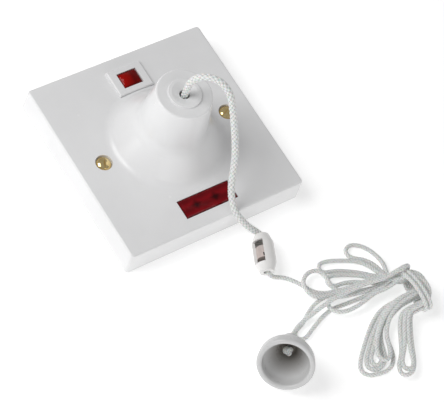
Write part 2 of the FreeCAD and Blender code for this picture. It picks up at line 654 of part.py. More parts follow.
def fixed_contacts():
    """For each pole and side: a silver tip, its copper strip and a brass terminal block"""
    number = 0
    grubs = []
    for x in ("", "0 - "):
        for y in (1, -1):
            number += 1
            sign = "" if y > 0 else "0 - "
            tip_start = TIP_FACE if y > 0 else f"0 - {STRIP_FACE}"
            node(f"contact_tip_{number}",
                 rod(f"contact_tip_{number}", (f"{x}{POLE}", tip_start, AXIS),
                     "tip_radius", "tip_height", "Y"))

            def block(name, half_x, middle_x, near, far, low, high):
                first, last = (near, far) if y > 0 else (f"0 - ({far})", f"0 - ({near})")
                return box(name, (f"{x}{middle_x} - {half_x}", first, low),
                           (f"{x}{middle_x} + {half_x}", last, high))

            name = f"fixed_contact_{number}"
            half = "strip_width / 2"
            upright = block(name + "_upright", half, POLE, STRIP_FACE,
                            f"{STRIP_FACE} + strip_thickness", f"{AXIS} - strip_height / 2",
                            f"{AXIS} + strip_height / 2")
            level = block(name + "_level", half, POLE, STRIP_FACE, "terminal_near",
                          f"{AXIS} - strip_thickness", AXIS)
            node(name, joined(name, [upright, level]))

            name = f"terminal_block_{number}"
            blank = block(name + "_blank", "terminal_width / 2", "terminal_across",
                          "terminal_near", "terminal_near + terminal_length", BASE_TOP,
                          TERMINAL_TOP)
            across = f"{TERMINAL_TOP} - cable_bore_radius - 1"
            cable = rod(name + "_cable", (f"{x}terminal_across - terminal_width",
                                         f"{sign}{TERMINAL_MIDDLE}", across),
                        "cable_bore_radius", "2 * terminal_width", "X")
            thread = rod(name + "_thread", (f"{x}terminal_across", f"{sign}{TERMINAL_MIDDLE}",
                                           f"{BASE_TOP} - 1"),
                         "grub_radius", f"{across} - {BASE_TOP} + 1")
            node(name, cut(name, blank, [cable, thread]))
            low = (f"{x}terminal_across", f"{sign}{TERMINAL_MIDDLE}", "base_lift + 0.2")
            grubs.append(grub(f"terminal_screw_{number}", low, "grub_radius", "grub_length"))
    node("terminal_screws", group("terminal_screws", grubs))


def grub(name, low, radius, length):
    """A headless screw with a slot in its lower end"""
    x, y, z = low
    blank = rod(name + "_blank", low, radius, length)
    groove = box(name + "_slot", (f"{x} - 0.35", f"{y} - {radius} - 1", f"{z} - 1"),
                 (f"{x} + 0.35", f"{y} + {radius} + 1", f"{z} + 0.8"))
    return cut(name, blank, [groove])


def earth_terminal():
    place = f"0 - {EARTH_MIDDLE}"
    blank = box("earth_blank", ("0 - earth_width / 2", f"{place} - earth_length / 2", BASE_TOP),
                ("earth_width / 2", f"{place} + earth_length / 2", f"{BASE_TOP} + earth_height"))
    across = f"{BASE_TOP} + earth_height - earth_bore_radius - 0.8"
    cable = rod("earth_cable", ("0 - earth_width", place, across), "earth_bore_radius",
                "2 * earth_width", "X")
    thread = rod("earth_thread", ("0", place, f"{BASE_TOP} - 1"), "earth_grub_radius",
                 f"{across} - {BASE_TOP} + 1")
    node("earth_terminal", cut("earth_terminal", blank, [cable, thread]))
    node("earth_screw", grub("earth_screw", ("0", place, "base_lift + 0.2"),
                             "earth_grub_radius", "grub_length"))


# ------------------------------------------------------------------ flag

def flag_bezel():
    """Raised frame with a spigot through the plate"""
    bezel = body("flag_bezel")
    top = size("plate_depth") + size("bezel_height")
    pad(bezel, rectangle(sketch(bezel, "frame", "XY_Plane", "plate_depth"), "0", "flag_place",
                         "bezel_width / 2", "bezel_length / 2"), "bezel_height")
    fillet(bezel, "0.4 * bezel_height", lambda edge: flat_at(edge, top))
    spigot = rectangle(sketch(bezel, "spigot", "XY_Plane", BEHIND_PLATE), "0", "flag_place",
                       "window_width / 2 + bezel_wall", "window_length / 2 + bezel_wall")
    pad(bezel, spigot, "plate_wall + root")
    window = rectangle(sketch(bezel, "window", "XY_Plane", "plate_depth + bezel_height"), "0",
                       "flag_place", "window_width / 2", "window_length / 2")
    pocket(bezel, window, "bezel_height + plate_wall + 1")
    return node("flag_bezel", bezel)


def bevelled_block(name, x, y, half_x, half_y, low, high, bevel):
    """A block whose upper edges are bevelled"""
    item = body(name)
    drawn = rectangle(sketch(item, "block", "XY_Plane", low), x, y, half_x, half_y)
    pad(item, drawn, f"({high}) - ({low})")
    doc.recompute()
    base = item.Tip
    top = base.Shape.BoundBox.ZMax
    bevelled = item.newObject("PartDesign::Chamfer", f"{name}_bevel")
    bevelled.Base = (base, [f"Edge{i + 1}" for i, edge in enumerate(base.Shape.Edges)
                            if flat_at(edge, top)])
    bevelled.setExpression("Size", formula(bevel))
    return item


def flag_lens():
    top = "plate_depth + lens_top"
    item = bevelled_block("flag_lens", "0", "flag_place", "window_width / 2 - trim_fit / 2",
                          "window_length / 2 - trim_fit / 2", f"{top} - lens_thickness", top,
                          "lens_bevel")
    return node("flag_lens", item)


def sector(name, start, radius, length, first, sweep):
    """A slice of a bar along +X about the flag's axis, its angles up from +Y"""
    item = doc.addObject("Part::Cylinder", name)
    # the bar's own +X and +Y are turned to the part's +Y and +Z, then on to the first angle
    across = FreeCAD.Rotation(Vector(0, 1, 0), Vector(0, 0, 1), Vector(1, 0, 0), "ZXY")
    item.Placement.Rotation = FreeCAD.Rotation(Vector(1, 0, 0), first).multiply(across)
    item.Angle = sweep
    return bind(item, (start, "flag_place", FLAG_AXIS), Radius=radius, Height=length)


RED_FIRST, RED_SWEEP = 40, 102.5
WHITE_FIRST, WHITE_SWEEP = -52.5, 92.5


def flag_drum():
    """White sector, its hub and the crank pin that the link drives"""
    west = f"0 - {FLAG_WIDTH} / 2"
    white = sector("flag_white", west, "flag_radius", FLAG_WIDTH, WHITE_FIRST, WHITE_SWEEP)
    core = sector("flag_core", west, "flag_core_radius", FLAG_WIDTH, WHITE_FIRST,
                  WHITE_SWEEP + RED_SWEEP)
    hub = rod("flag_hub", (west, "flag_place", FLAG_AXIS), "2.2 * flag_pin_radius",
              FLAG_WIDTH, "X")
    rise = f"sqrt(crank_radius * crank_radius - {PIN_OFFSET} * {PIN_OFFSET})"
    crank = rod("flag_crank", (f"{FLAG_WIDTH} / 2 - crank_root", FORK_MIDDLE, f"{FLAG_AXIS} + {rise}"),
                "crank_pin_radius", "crank_pin_length + 0.5", "X")
    bore = rod("flag_bore", (f"0 - {FLAG_WIDTH}", "flag_place", FLAG_AXIS),
               "flag_pin_radius + sliding_fit", f"2 * {FLAG_WIDTH}", "X")
    return node("flag_drum", cut("flag_drum", joined("flag_blank", [white, core, hub, crank]),
                                 [bore]))


def flag_red_segment():
    """The red part of the flag, pressed on the drum's core"""
    west = f"0 - {FLAG_WIDTH} / 2"
    outer = sector("flag_red_outer", west, "flag_radius", FLAG_WIDTH, RED_FIRST, RED_SWEEP)
    inner = rod("flag_red_inner", (f"{west} - 1", "flag_place", FLAG_AXIS),
                "flag_core_radius", f"{FLAG_WIDTH} + 2", "X")
    return node("flag_red_segment", cut("flag_red_segment", outer, [inner]))


def flag_pin():
    west = f"({FLAG_WIDTH} / 2 + side_gap + post_thickness)"
    east = "(link_place + cam_width / 2 + side_gap + post_thickness)"
    return node("flag_pin", rod("flag_pin", (f"0 - {west}", "flag_place", FLAG_AXIS),
                                "flag_pin_radius", f"{west} + {east}", "X"))


def flag_link():
    """Slide between the cam and the flag's crank, with a fork that straddles the crank pin"""
    west, east = "link_place - cam_width / 2", "link_place + cam_width / 2"
    fork_near, fork_far = f"{FORK_MIDDLE} - {FORK_HALF}", f"{FORK_MIDDLE} + {FORK_HALF}"
    nose = rod("link_nose", (west, f"{LINK_NOSE} + link_nose_radius", AXIS),
               "link_nose_radius", "cam_width", "X")
    neck = box("link_neck", (west, f"{LINK_NOSE} + link_nose_radius",
                             f"min({AXIS} - link_nose_radius; {LINK_LOW})"),
               (east, f"{LINK_NOSE} + 3 * link_nose_radius",
                f"max({AXIS} + link_nose_radius; {LINK_LOW} + link_height)"))
    bar = box("link_bar", (west, f"{LINK_NOSE} + link_nose_radius", LINK_LOW),
              (east, fork_far, f"{LINK_LOW} + link_height"))
    fork = box("link_fork", (west, fork_near, LINK_LOW), (east, fork_far, FORK_TOP))
    slot = box("link_slot", (f"{west} - 1", f"{FORK_MIDDLE} - crank_pin_radius - slot_play", "0"),
               (f"{east} + 1", f"{FORK_MIDDLE} + crank_pin_radius + slot_play",
                f"{FORK_TOP} - fork_roof"))
    return node("flag_link", cut("flag_link", joined("link_blank", [nose, neck, bar, fork]), [slot]))


def flag_link_spring():
    """Presses the link against the cam, from the inside of the plate's edge"""
    near = f"({FORK_MIDDLE} + {FORK_HALF} + link_spring_wire)"
    far = f"({PLATE_INSIDE} - plate_draft)"
    return coil("flag_link_spring", ("link_place", near, f"{LINK_LOW} + link_spring_radius + 0.3"),
                "link_spring_radius", "link_spring_wire",
                f"{far} - {near} - link_spring_wire", "link_spring_turns", "Y")


# ------------------------------------------------------------------ neon

def neon():
    """Lens through the plate, and the lamp, its holder, its resistor and its two leads"""
    half_x, half_y = "neon_width / 2", "neon_length / 2"
    lens = bevelled_block("neon_lens", "0", NEON_Y, half_x, half_y, BEHIND_PLATE,
                          "plate_depth + neon_proud", "neon_bevel")
    rim = rectangle(sketch(lens, "flange", "XY_Plane", BEHIND_PLATE), "0", NEON_Y,
                    f"{half_x} + neon_flange", f"{half_y} + neon_flange")
    pad(lens, rim, "neon_flange_height", down=True)
    node("neon_lens", lens)

    wall = "(lamp_length / 2 + holder_wall)"
    floor = box("holder_floor_block", (f"0 - {wall}", f"{NEON_Y} - {half_y}", BASE_TOP),
                (wall, f"{NEON_Y} + {half_y}", f"{BASE_TOP} + holder_floor"))
    top = f"{LAMP_HEIGHT} + lamp_radius - 0.3"
    ends = [box("holder_west", (f"0 - {wall}", f"{NEON_Y} - {half_y} + 1", BASE_TOP),
                ("0 - lamp_length / 2", f"{NEON_Y} + {half_y}", top)),
            box("holder_east", ("lamp_length / 2", f"{NEON_Y} - {half_y} + 1", BASE_TOP),
                (wall, f"{NEON_Y} + {half_y}", top))]
    node("neon_holder", joined("neon_holder", [floor, *ends]))
    glass = rod("neon_lamp", ("0 - lamp_length / 2 + lamp_end_gap", NEON_Y, LAMP_HEIGHT),
                "lamp_radius", "lamp_length - 2 * lamp_end_gap", "X")
    node("neon_lamp", glass)

    # each lead runs straight from a holder end to the terminal block beside it
    place = "(lamp_length / 2 + holder_wall / 2)"
    near = f"({NEON_Y} + {half_y})"
    span = f"(0 - terminal_near - terminal_length - {near})"
    stub = f"(({span} - resistor_length) / 2)"
    height = f"({LAMP_HEIGHT} - 0.8)"
    leads = [rod("lead_west", (f"0 - {place}", near, height), "lead_radius", span, "Y"),
             rod("lead_south", (place, near, height), "lead_radius", stub, "Y"),
             rod("lead_north", (place, f"{near} + {stub} + resistor_length", height),
                 "lead_radius", stub, "Y")]
    node("neon_leads", group("neon_leads", leads))
    node("neon_resistor", rod("neon_resistor", (place, f"{near} + {stub}", height),
                              "resistor_radius", "resistor_length", "Y"))


# ------------------------------------------------------------------ connector and knob

def connector_placement():
    heading = math.radians(size("connector_heading"))
    along = Vector(math.cos(heading), math.sin(heading), 0)
    turn = FreeCAD.Rotation(Vector(0, 0, 1), along)
    middle = Vector(size("connector_x"), size("connector_y"), size("connector_radius"))
    return FreeCAD.Placement(middle, turn)


def connector():
    """Barrel that joins the two cords, with a side window and a core held inside it"""
    shell = body("connector_shell")
    far = "connector_length"
    profile = [
        ("cord_diameter / 2 + connector_cord_play", "0"),
        ("connector_end_radius", "0"),
        ("connector_radius", "connector_shoulder"),
        ("connector_radius", f"{far} - connector_shoulder"),
        ("connector_end_radius", far),
        ("thin_cord_diameter / 2 + connector_lead_play", far),
        ("thin_cord_diameter / 2 + connector_lead_play", f"{far} - connector_end_wall"),
        ("connector_core_radius", f"{far} - connector_end_wall"),
        ("connector_core_radius", "connector_end_wall"),
        ("cord_diameter / 2 + connector_cord_play", "connector_end_wall"),
    ]
    turned(shell, outline(sketch(shell, "profile", "XZ_Plane"), profile))
    radius, length = size("connector_radius"), size("connector_length")
    shoulder = size("connector_shoulder")
    fillet(shell, "1.6 * connector_shoulder",
           lambda edge: round_at(edge, radius, shoulder) or round_at(edge, radius, length - shoulder))
    window = rectangle(sketch(shell, "window", "YZ_Plane"), "0", "connector_length / 2",
                       "connector_window / 2", "connector_length / 2 - connector_end_wall - connector_lip")
    pocket(shell, window, "2 * connector_radius", up=True)
    shell.Placement = connector_placement()
    node("connector_shell", shell)

    core = rod("connector_core", ("0", "0", "connector_length / 2 - connector_core_length / 2"),
               "connector_core_radius", "connector_core_length")
    slant = doc.addObject("Part::Box", "connector_slant")
    slant.setExpression("Length", formula("2 * connector_slant_reach"))
    slant.setExpression("Width", formula("2 * connector_slant_reach"))
    slant.setExpression("Height", formula("connector_slant_width"))
    reach, half_width = size("connector_slant_reach"), size("connector_slant_width") / 2
    slant.Placement = FreeCAD.Placement(
        Vector(-reach, -reach, size("connector_length") / 2 - half_width),
        FreeCAD.Rotation(Vector(1, 0, 0), size("connector_slant_angle")),
        Vector(reach, reach, half_width))
    half = box("connector_back", ("0 - connector_slant_reach", "0 - connector_slant_reach", "0"),
               ("0", "connector_slant_reach", "connector_length"))
    keyed = cut("connector_insert", core, [cut("connector_slant_front", slant, [half])])
    keyed.Placement = connector_placement()
    node("connector_insert", keyed)


def knob_placement():
    """The bell lies on its rounded skirt and its neck, its mouth turned away from the hank"""
    radius, skirt = size("knob_radius"), size("knob_skirt")
    neck, length = size("knob_neck_radius"), size("knob_length")
    rounding = size("knob_skirt_round")
    slope = math.atan2(radius - neck, size("knob_shoulder") - skirt)
    out = radius - rounding - neck
    along = length - skirt + rounding * math.tan(slope / 2)
    tilt = math.asin(rounding / math.hypot(out, along)) + math.atan2(out, along)
    heading = math.radians(size("knob_heading"))
    axis = Vector(math.cos(tilt) * math.cos(heading), math.cos(tilt) * math.sin(heading),
                  -math.sin(tilt))
    height = neck * math.cos(tilt) + length * math.sin(tilt)
    middle = Vector(size("knob_x"), size("knob_y"), height)
    return FreeCAD.Placement(middle, FreeCAD.Rotation(Vector(0, 0, 1), axis))


def knob():
    """Bell-shaped pull, from its mouth at 0 to its neck, and the knot inside it"""
    bell = body("pull_knob")
    profile = [
        ("knob_mouth_radius", "0"),
        ("knob_radius", "0"),
        ("knob_radius", "knob_skirt"),
        ("knob_neck_radius", "knob_shoulder"),
        ("knob_neck_radius", "knob_length"),
        ("knob_bore_radius", "knob_length"),
        ("knob_bore_radius", "knob_bowl_depth"),
        ("knob_knot_radius + knob_knot_play", "knob_bowl_depth"),
        ("knob_mouth_radius", "knob_skirt - knob_wall_step"),
    ]
    turned(bell, outline(sketch(bell, "profile", "XZ_Plane"), profile))
    radius, mouth = size("knob_radius"), size("knob_mouth_radius")
    skirt, shoulder = size("knob_skirt"), size("knob_shoulder")
    neck = size("knob_neck_radius")
    bowl = skirt - size("knob_wall_step")
    fillet(bell, "knob_skirt_round",
           lambda edge: round_at(edge, radius, skirt) or round_at(edge, mouth, bowl))
    fillet(bell, "knob_shoulder_round", lambda edge: round_at(edge, neck, shoulder))
    fillet(bell, "knob_lip_round", lambda edge: flat_at(edge, 0))
    bell.Placement = knob_placement()
    node("pull_knob", bell)

    knot = doc.addObject("Part::Sphere", "knob_knot")
    knot.setExpression("Radius", formula("knob_knot_radius"))
    depth = size("knob_bowl_depth") - size("knob_knot_radius")
    knot.Placement.Base = knob_placement().multVec(Vector(0, 0, depth))
    node("knob_knot", knot)


# ------------------------------------------------------------------ cords

UPPER_ROUTE = [
    (0.1, 0.0, 34.0), (0.0, -0.1, 46.5), (0.1, -0.4, 55.0), (2.5, -3.2, 60.3),
    (6.3, -7.9, 62.0), (8.9, -13.2, 59.2), (9.8, -17.4, 51.9), (10.3, -22.4, 42.6),
    (10.0, -28.8, 31.2), (6.9, -34.8, 20.8), (5.9, -41.4, 14.9), (7.8, -45.6, 11.4),
    (11.2, -49.0, 7.6), (14.3, -50.9, 5.1), (15.4, -53.3, 4.5),
]
LEAD_ROUTE = [
    (9.5, -66.2, 4.5), (9.0, -68.6, 3.6), (11.2, -70.4, 1.4), (15.0, -71.9, 1.0),
    (18.6, -76.0, 1.0),
]
TAIL_END = (7.2, -93.4, 1.4)


def route_edges(points, name):
    """Straight runs joined by arcs, each arc 0.45 of its shorter run at each side"""
    ends = [points[0]]
    edges = []
    radii = []
    for before, corner, after in zip(points, points[1:], points[2:]):
        back, ahead = before - corner, after - corner
        reach = 0.45 * min(back.Length, ahead.Length)
        half_turn = (math.pi - back.getAngle(ahead)) / 2
        radii.append(reach / math.tan(half_turn))
        start = corner + Vector(back).normalize() * reach
        stop = corner + Vector(ahead).normalize() * reach
        inward = (start + stop) * 0.5 - corner
        sagitta = radii[-1] * (1 / math.cos(half_turn) - 1)
        middle = corner + inward.normalize() * sagitta
        edges.append(Part.LineSegment(ends[-1], start).toShape())
        edges.append(Part.Arc(start, middle, stop).toShape())
        ends.append(stop)
    edges.append(Part.LineSegment(ends[-1], points[-1]).toShape())
    print(name, "radii", [round(radius, 1) for radius in radii])
    return edges


def cord(name, points, diameter):
    """A plain round tube along a route"""
    points = [Vector(*point) for point in points]
    wire = Part.Wire(route_edges(points, name))
    ring = Part.Circle(points[0], points[1] - points[0], diameter / 2)
    section = Part.Wire(ring.toShape())
    tube = wire.makePipeShell([section], True, False)
    expected = math.pi * (diameter / 2) ** 2 * wire.Length
    print(name, "length", round(wire.Length, 1), "volume over section times length",
          round(tube.Volume / expected, 4))
    item = doc.addObject("Part::Feature", name)
    item.Shape = tube
    return node(name, item)


def cords():
    """The braided cord from the plunger to the connector, and the thin cord after it"""
    joint = nodes["connector_shell"].Placement
    wall = size("connector_end_wall")
    knot_top = nodes["plunger_knot"].Shape.BoundBox.ZMax
    entry = joint.multVec(Vector(0, 0, wall))
    cord("upper_cord", [(0, 0, knot_top), *UPPER_ROUTE, entry], size("cord_diameter"))
    inside = joint.multVec(Vector(0, 0, size("connector_length") - 2 * wall))
    cord("lower_lead", [inside, *LEAD_ROUTE], size("thin_cord_diameter"))
    bell = nodes["pull_knob"].Placement
    knot = bell.multVec(Vector(0, 0, size("knob_bowl_depth")))
    neck = bell.multVec(Vector(0, 0, size("knob_length") - 0.5))
    cord("lower_tail", [knot, neck, TAIL_END], size("thin_cord_diameter"))


def hank_part(name, corners, height):
    """One closed solid of the outer shape of a leg of the hank"""
    leg = body(name)
    drawn = outline(sketch(leg, "shape", "XY_Plane"),
                    [(f"0 + {x}" if x >= 0 else f"0 - {-x}", f"0 - {-y}") for x, y in corners])
    pad(leg, drawn, height)
    return node(name, leg)


def hank():
    """The bunched cord: two legs fanned out from a tie, and the loop that reaches the pull"""
    hank_part("hank_left", [(60, -102), (60, -94.5), (47, -71), (19, -76), (17.5, -84),
                            (23, -97.5), (38, -100)], "hank_height")
    hank_part("hank_front", [(60, -102.2), (38, -100.4), (19.5, -119), (21.5, -124.5),
                             (30, -132.5), (38, -133), (43.5, -130), (60, -109)],
              "hank_front_height")
    hank_part("hank_end", [(17.9, -86), (21.9, -95.4), (9, -99.4), (4.9, -96.4), (7.2, -92.4)],
              "hank_end_height")
    hank_part("hank_tie", [(60.2, -94.8), (60.2, -109), (66, -108), (67.5, -103), (65, -97.5)],
              "hank_tie_height")


# ------------------------------------------------------------------ build and write

def check_document():
    """Stop on any failed object and on any sub-part that isn't a valid shape"""
    doc.recompute()
    failed = [item.Name for item in doc.Objects
              if "Invalid" in item.State or "Error" in item.State]
    for name, item in nodes.items():
        if item.Shape.isNull() or not item.Shape.isValid() or not item.Shape.Solids:
            failed.append(name)
    if failed:
        raise SystemExit(f"these did not build: {sorted(set(failed))}")


def main():
    front_cover()
    cord_bush()
    fixing_screws()
    rear_base()
    base_screws()
    plunger()
    plunger_knot()
    return_spring()
    ratchet_wheel()
    flag_cam()
    rotor_drum()
    rotor_axle()
    bridge_contacts()
    backstop_spring()
    fixed_contacts()
    earth_terminal()
    flag_bezel()
    flag_lens()
    flag_drum()
    flag_red_segment()
    flag_pin()
    flag_link()
    flag_link_spring()
    neon()
    connector()
    knob()
    hank()
    doc.recompute()
    cords()
    check_document()
    os.makedirs("parts", exist_ok=True)
    for name, item in nodes.items():
        item.Shape.exportStep(f"parts/{name}.step")
    print(len(nodes), "sub-parts written")


main()
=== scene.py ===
"""Looks of a ceiling pull cord switch that lies on its back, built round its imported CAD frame.

Metres, in the frame of the CAD: origin in the middle of the plate's rear face, +Z out of the
plate to the dome's nose, +X from the left screw to the right one, +Y to the flag window.
"""

import json
import math
from collections import namedtuple

import bmesh
import bpy
from mathutils import Matrix, Vector


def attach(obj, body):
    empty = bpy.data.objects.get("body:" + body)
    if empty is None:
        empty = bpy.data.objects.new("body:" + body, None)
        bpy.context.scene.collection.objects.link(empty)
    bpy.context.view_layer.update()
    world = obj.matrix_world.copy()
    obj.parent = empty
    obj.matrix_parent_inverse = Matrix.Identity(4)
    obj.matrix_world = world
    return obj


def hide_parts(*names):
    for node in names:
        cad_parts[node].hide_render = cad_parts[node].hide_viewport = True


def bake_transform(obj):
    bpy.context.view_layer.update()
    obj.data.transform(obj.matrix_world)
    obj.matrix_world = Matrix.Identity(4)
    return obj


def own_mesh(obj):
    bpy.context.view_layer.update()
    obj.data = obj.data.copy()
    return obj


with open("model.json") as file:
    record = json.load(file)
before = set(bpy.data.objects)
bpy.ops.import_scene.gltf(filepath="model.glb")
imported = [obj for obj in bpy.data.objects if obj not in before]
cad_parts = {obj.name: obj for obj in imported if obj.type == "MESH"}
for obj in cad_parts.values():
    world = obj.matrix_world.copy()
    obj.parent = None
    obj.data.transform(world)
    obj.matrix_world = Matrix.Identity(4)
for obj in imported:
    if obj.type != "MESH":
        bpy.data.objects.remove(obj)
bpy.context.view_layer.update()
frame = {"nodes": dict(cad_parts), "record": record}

MM = 0.001
CUT_REACH = 1e-8
MERGE_REACH = 1e-6
HOUSING = "housing"
nodes = frame["nodes"]
slot_of = {part["node"]: part["material_slot"] for part in frame["record"]["subparts"]}


# ------------------------------------------------------------------ camera

CAMERA_PLACE = Vector((-0.33248, -0.26894, 0.63876))
CAMERA_RIGHT = Vector((0.81707, -0.52157, 0.24567))
CAMERA_UP = Vector((0.35973, 0.79420, 0.48973))
CAMERA_BACK = Vector((-0.45055, -0.31177, 0.83654))
CAMERA_SENSOR = 36
CAMERA_LENS = 150.76
CAMERA_NEAREST, CAMERA_FARTHEST = 0.05, 10


def make_camera():
    """A long lens over the switch's lower left corner, rolled to the left"""
    camera = bpy.data.objects.new("camera", bpy.data.cameras.new("camera"))
    camera.data.sensor_width = CAMERA_SENSOR
    camera.data.lens = CAMERA_LENS
    camera.data.clip_start = CAMERA_NEAREST
    camera.data.clip_end = CAMERA_FARTHEST
    turn = Matrix((CAMERA_RIGHT, CAMERA_UP, CAMERA_BACK)).transposed().to_4x4()
    camera.matrix_world = Matrix.Translation(CAMERA_PLACE) @ turn
    bpy.context.scene.collection.objects.link(camera)
    bpy.context.scene.camera = camera


make_camera()


# ------------------------------------------------------------------ cord routes

# Places that the cords pass, in millimetres: the thick cord from the knot in the plunger to
# the connector, and the thin one from the connector to the hank.
UPPER_ROUTE = [
    (0, 0, 20.0), (0.1, 0.0, 34.0), (0.0, -0.1, 46.5), (0.1, -0.4, 55.0), (2.5, -3.2, 60.3),
    (6.3, -7.9, 62.0), (8.9, -13.2, 59.2), (9.8, -17.4, 51.9), (10.3, -22.4, 42.6),
    (10.0, -28.8, 31.2), (6.9, -34.8, 20.8), (5.9, -41.4, 14.9), (7.8, -45.6, 11.4),
    (11.2, -49.0, 7.6), (14.3, -50.9, 5.1), (15.4, -53.3, 4.5), (14.59, -55.18, 4.5),
]
LEAD_ROUTE = [
    (10.44, -64.06, 4.5), (9.5, -66.2, 4.5), (9.0, -68.6, 3.6), (11.2, -70.4, 1.4),
    (15.0, -71.9, 1.0), (18.2, -75.2, 1.0),
]


def spline_line(route, name):
    """Points along the smooth NURBS line that a route in millimetres holds"""
    curve = bpy.data.curves.new(name, "CURVE")
    curve.dimensions = "3D"
    curve.resolution_u = 24
    spline = curve.splines.new("NURBS")
    spline.points.add(len(route) - 1)
    for point, place in zip(spline.points, route):
        point.co = (*(MM * number for number in place), 1)
    spline.order_u = 3
    spline.use_endpoint_u = True
    holder = bpy.data.objects.new(name, curve)
    mesh = bpy.data.meshes.new_from_object(holder)
    line = [vertex.co.copy() for vertex in mesh.vertices]
    bpy.data.objects.remove(holder)
    bpy.data.curves.remove(curve)
    bpy.data.meshes.remove(mesh)
    return line


def even_steps(line, step):
    """The same line with points one step apart"""
    reach = [0.0]
    for before, after in zip(line, line[1:]):
        reach.append(reach[-1] + (after - before).length)
    count = max(2, round(reach[-1] / step) + 1)
    points = []
    index = 0
    for number in range(count):
        want = reach[-1] * number / (count - 1)
        while index < len(line) - 2 and reach[index + 1] < want:
            index += 1
        span = reach[index + 1] - reach[index]
        share = (want - reach[index]) / span if span > 0 else 0
        points.append(line[index].lerp(line[index + 1], min(1, max(0, share))))
    return points, reach[-1]


# A braid: its diameter, how far it goes for one strand to cross another and how deep the
# gaps are, in millimetres, with its sides and strands.
Braid = namedtuple("Braid", "diameter sides strands pitch relief")
UPPER_BRAID = Braid(diameter=3.0, sides=30, strands=5, pitch=2.0, relief=0.33)
LOWER_BRAID = Braid(diameter=2.0, sides=16, strands=4, pitch=1.3, relief=0.2)
KNOT_BRAID = Braid(diameter=1.7, sides=14, strands=4, pitch=1.2, relief=0.15)
CROWN_POWER = 0.6
CROWN_LOW, CROWN_RISE = 0.55, 0.45


def braid_height(around, along, strands):
    """How far the braid stands out, 0 to 1, at a turn round the cord and a place along it"""
    right = around * strands + along
    left = around * strands - along
    over = (math.floor(right) + math.floor(left)) % 2 == 0
    across = right if over else left
    lengthwise = left if over else right
    crown = math.sin(math.pi * (across % 1))
    along_crown = CROWN_LOW + CROWN_RISE * math.sin(math.pi * (lengthwise % 1))
    return crown ** CROWN_POWER * along_crown


def braided_tube(name, line, weave):
    """A tube along a line, its surface raised where one strand of the braid lies on another"""
    shape = bmesh.new()
    sides = weave.sides
    diameter, pitch, relief = weave.diameter * MM, weave.pitch * MM, weave.relief * MM
    # How far each point stands out; the braid's material also uses it to paint shade in the low
    # places
    height = shape.verts.layers.float.new("braid")
    lays = shape.loops.layers.uv.new("cord")
    rings = []
    normal = Vector((1, 0, 0))
    travelled = 0.0
    for number, place in enumerate(line):
        before = line[max(0, number - 1)]
        after = line[min(len(line) - 1, number + 1)]
        ahead = (after - before).normalized()
        if number == 0:
            normal = ahead.orthogonal().normalized()
        normal = (normal - ahead * normal.dot(ahead)).normalized()
        side = ahead.cross(normal)
        ring = []
        for corner in range(sides):
            share = corner / sides
            raised = braid_height(share, travelled / pitch, weave.strands)
            radius = diameter / 2 - relief * (1 - raised)
            angle = 2 * math.pi * share
            out = normal * math.cos(angle) + side * math.sin(angle)
            vertex = shape.verts.new(place + out * radius)
            vertex[height] = raised
            ring.append(vertex)
        rings.append((ring, travelled))
        travelled += (after - place).length
    for (first, start), (second, stop) in zip(rings, rings[1:]):
        for corner in range(sides):
            beside = (corner + 1) % sides
            face = shape.faces.new((first[corner], first[beside], second[beside], second[corner]))
            face.smooth = True
            for loop, place in zip(face.loops, ((corner, start), (corner + 1, start),
                                                (corner + 1, stop), (corner, stop))):
                loop[lays].uv = (place[0] / sides, place[1] / diameter)
    shape.faces.new(reversed(rings[0][0]))
    shape.faces.new(rings[-1][0])
    return finished(name, shape)


def finished(name, shape, sharp_above=None):
    """Turn a bmesh into an object, smooth where its faces meet at less than an angle"""
    mesh = bpy.data.meshes.new(name)
    shape.to_mesh(mesh)
    shape.free()
    item = bpy.data.objects.new(name, mesh)
    bpy.context.scene.collection.objects.link(item)
    if sharp_above is not None:
        for face in mesh.polygons:
            face.use_smooth = True
        mesh.set_sharp_from_angle(angle=math.radians(sharp_above))
    return item


def rounded(corners, steps=6):
    """Points of an outline whose corners give their place and how far they are rounded"""
    points = []
    for index, (across, along, rounding) in enumerate(corners):
        here = Vector((across, along))
        if rounding == 0:
            points.append(here)
            continue
        back = (Vector(corners[index - 1][:2]) - here).normalized()
        ahead = (Vector(corners[(index + 1) % len(corners)][:2]) - here).normalized()
        half = back.angle(ahead) / 2
        middle = here + (back + ahead).normalized() * rounding / math.sin(half)
        start = here + back * rounding / math.tan(half) - middle
        stop = here + ahead * rounding / math.tan(half) - middle
        for step in range(steps + 1):
            points.append(middle + start.lerp(stop, step / steps).normalized() * rounding)
    return points


def turned_shape(corners, steps=72):
    """A solid of revolution about Z from a closed outline in millimetres"""
    shape = bmesh.new()
    points = [shape.verts.new((MM * out, 0, MM * along)) for out, along in rounded(corners)]
    edges = [shape.edges.new(pair) for pair in zip(points, points[1:] + points[:1])]
    bmesh.ops.spin(shape, geom=points + edges, cent=(0, 0, 0), axis=(0, 0, 1),
                   angle=2 * math.pi, steps=steps, use_merge=True)
    bmesh.ops.remove_doubles(shape, verts=shape.verts, dist=MERGE_REACH)
    bmesh.ops.recalc_face_normals(shape, faces=shape.faces)
    return shape


# ------------------------------------------------------------------ hank

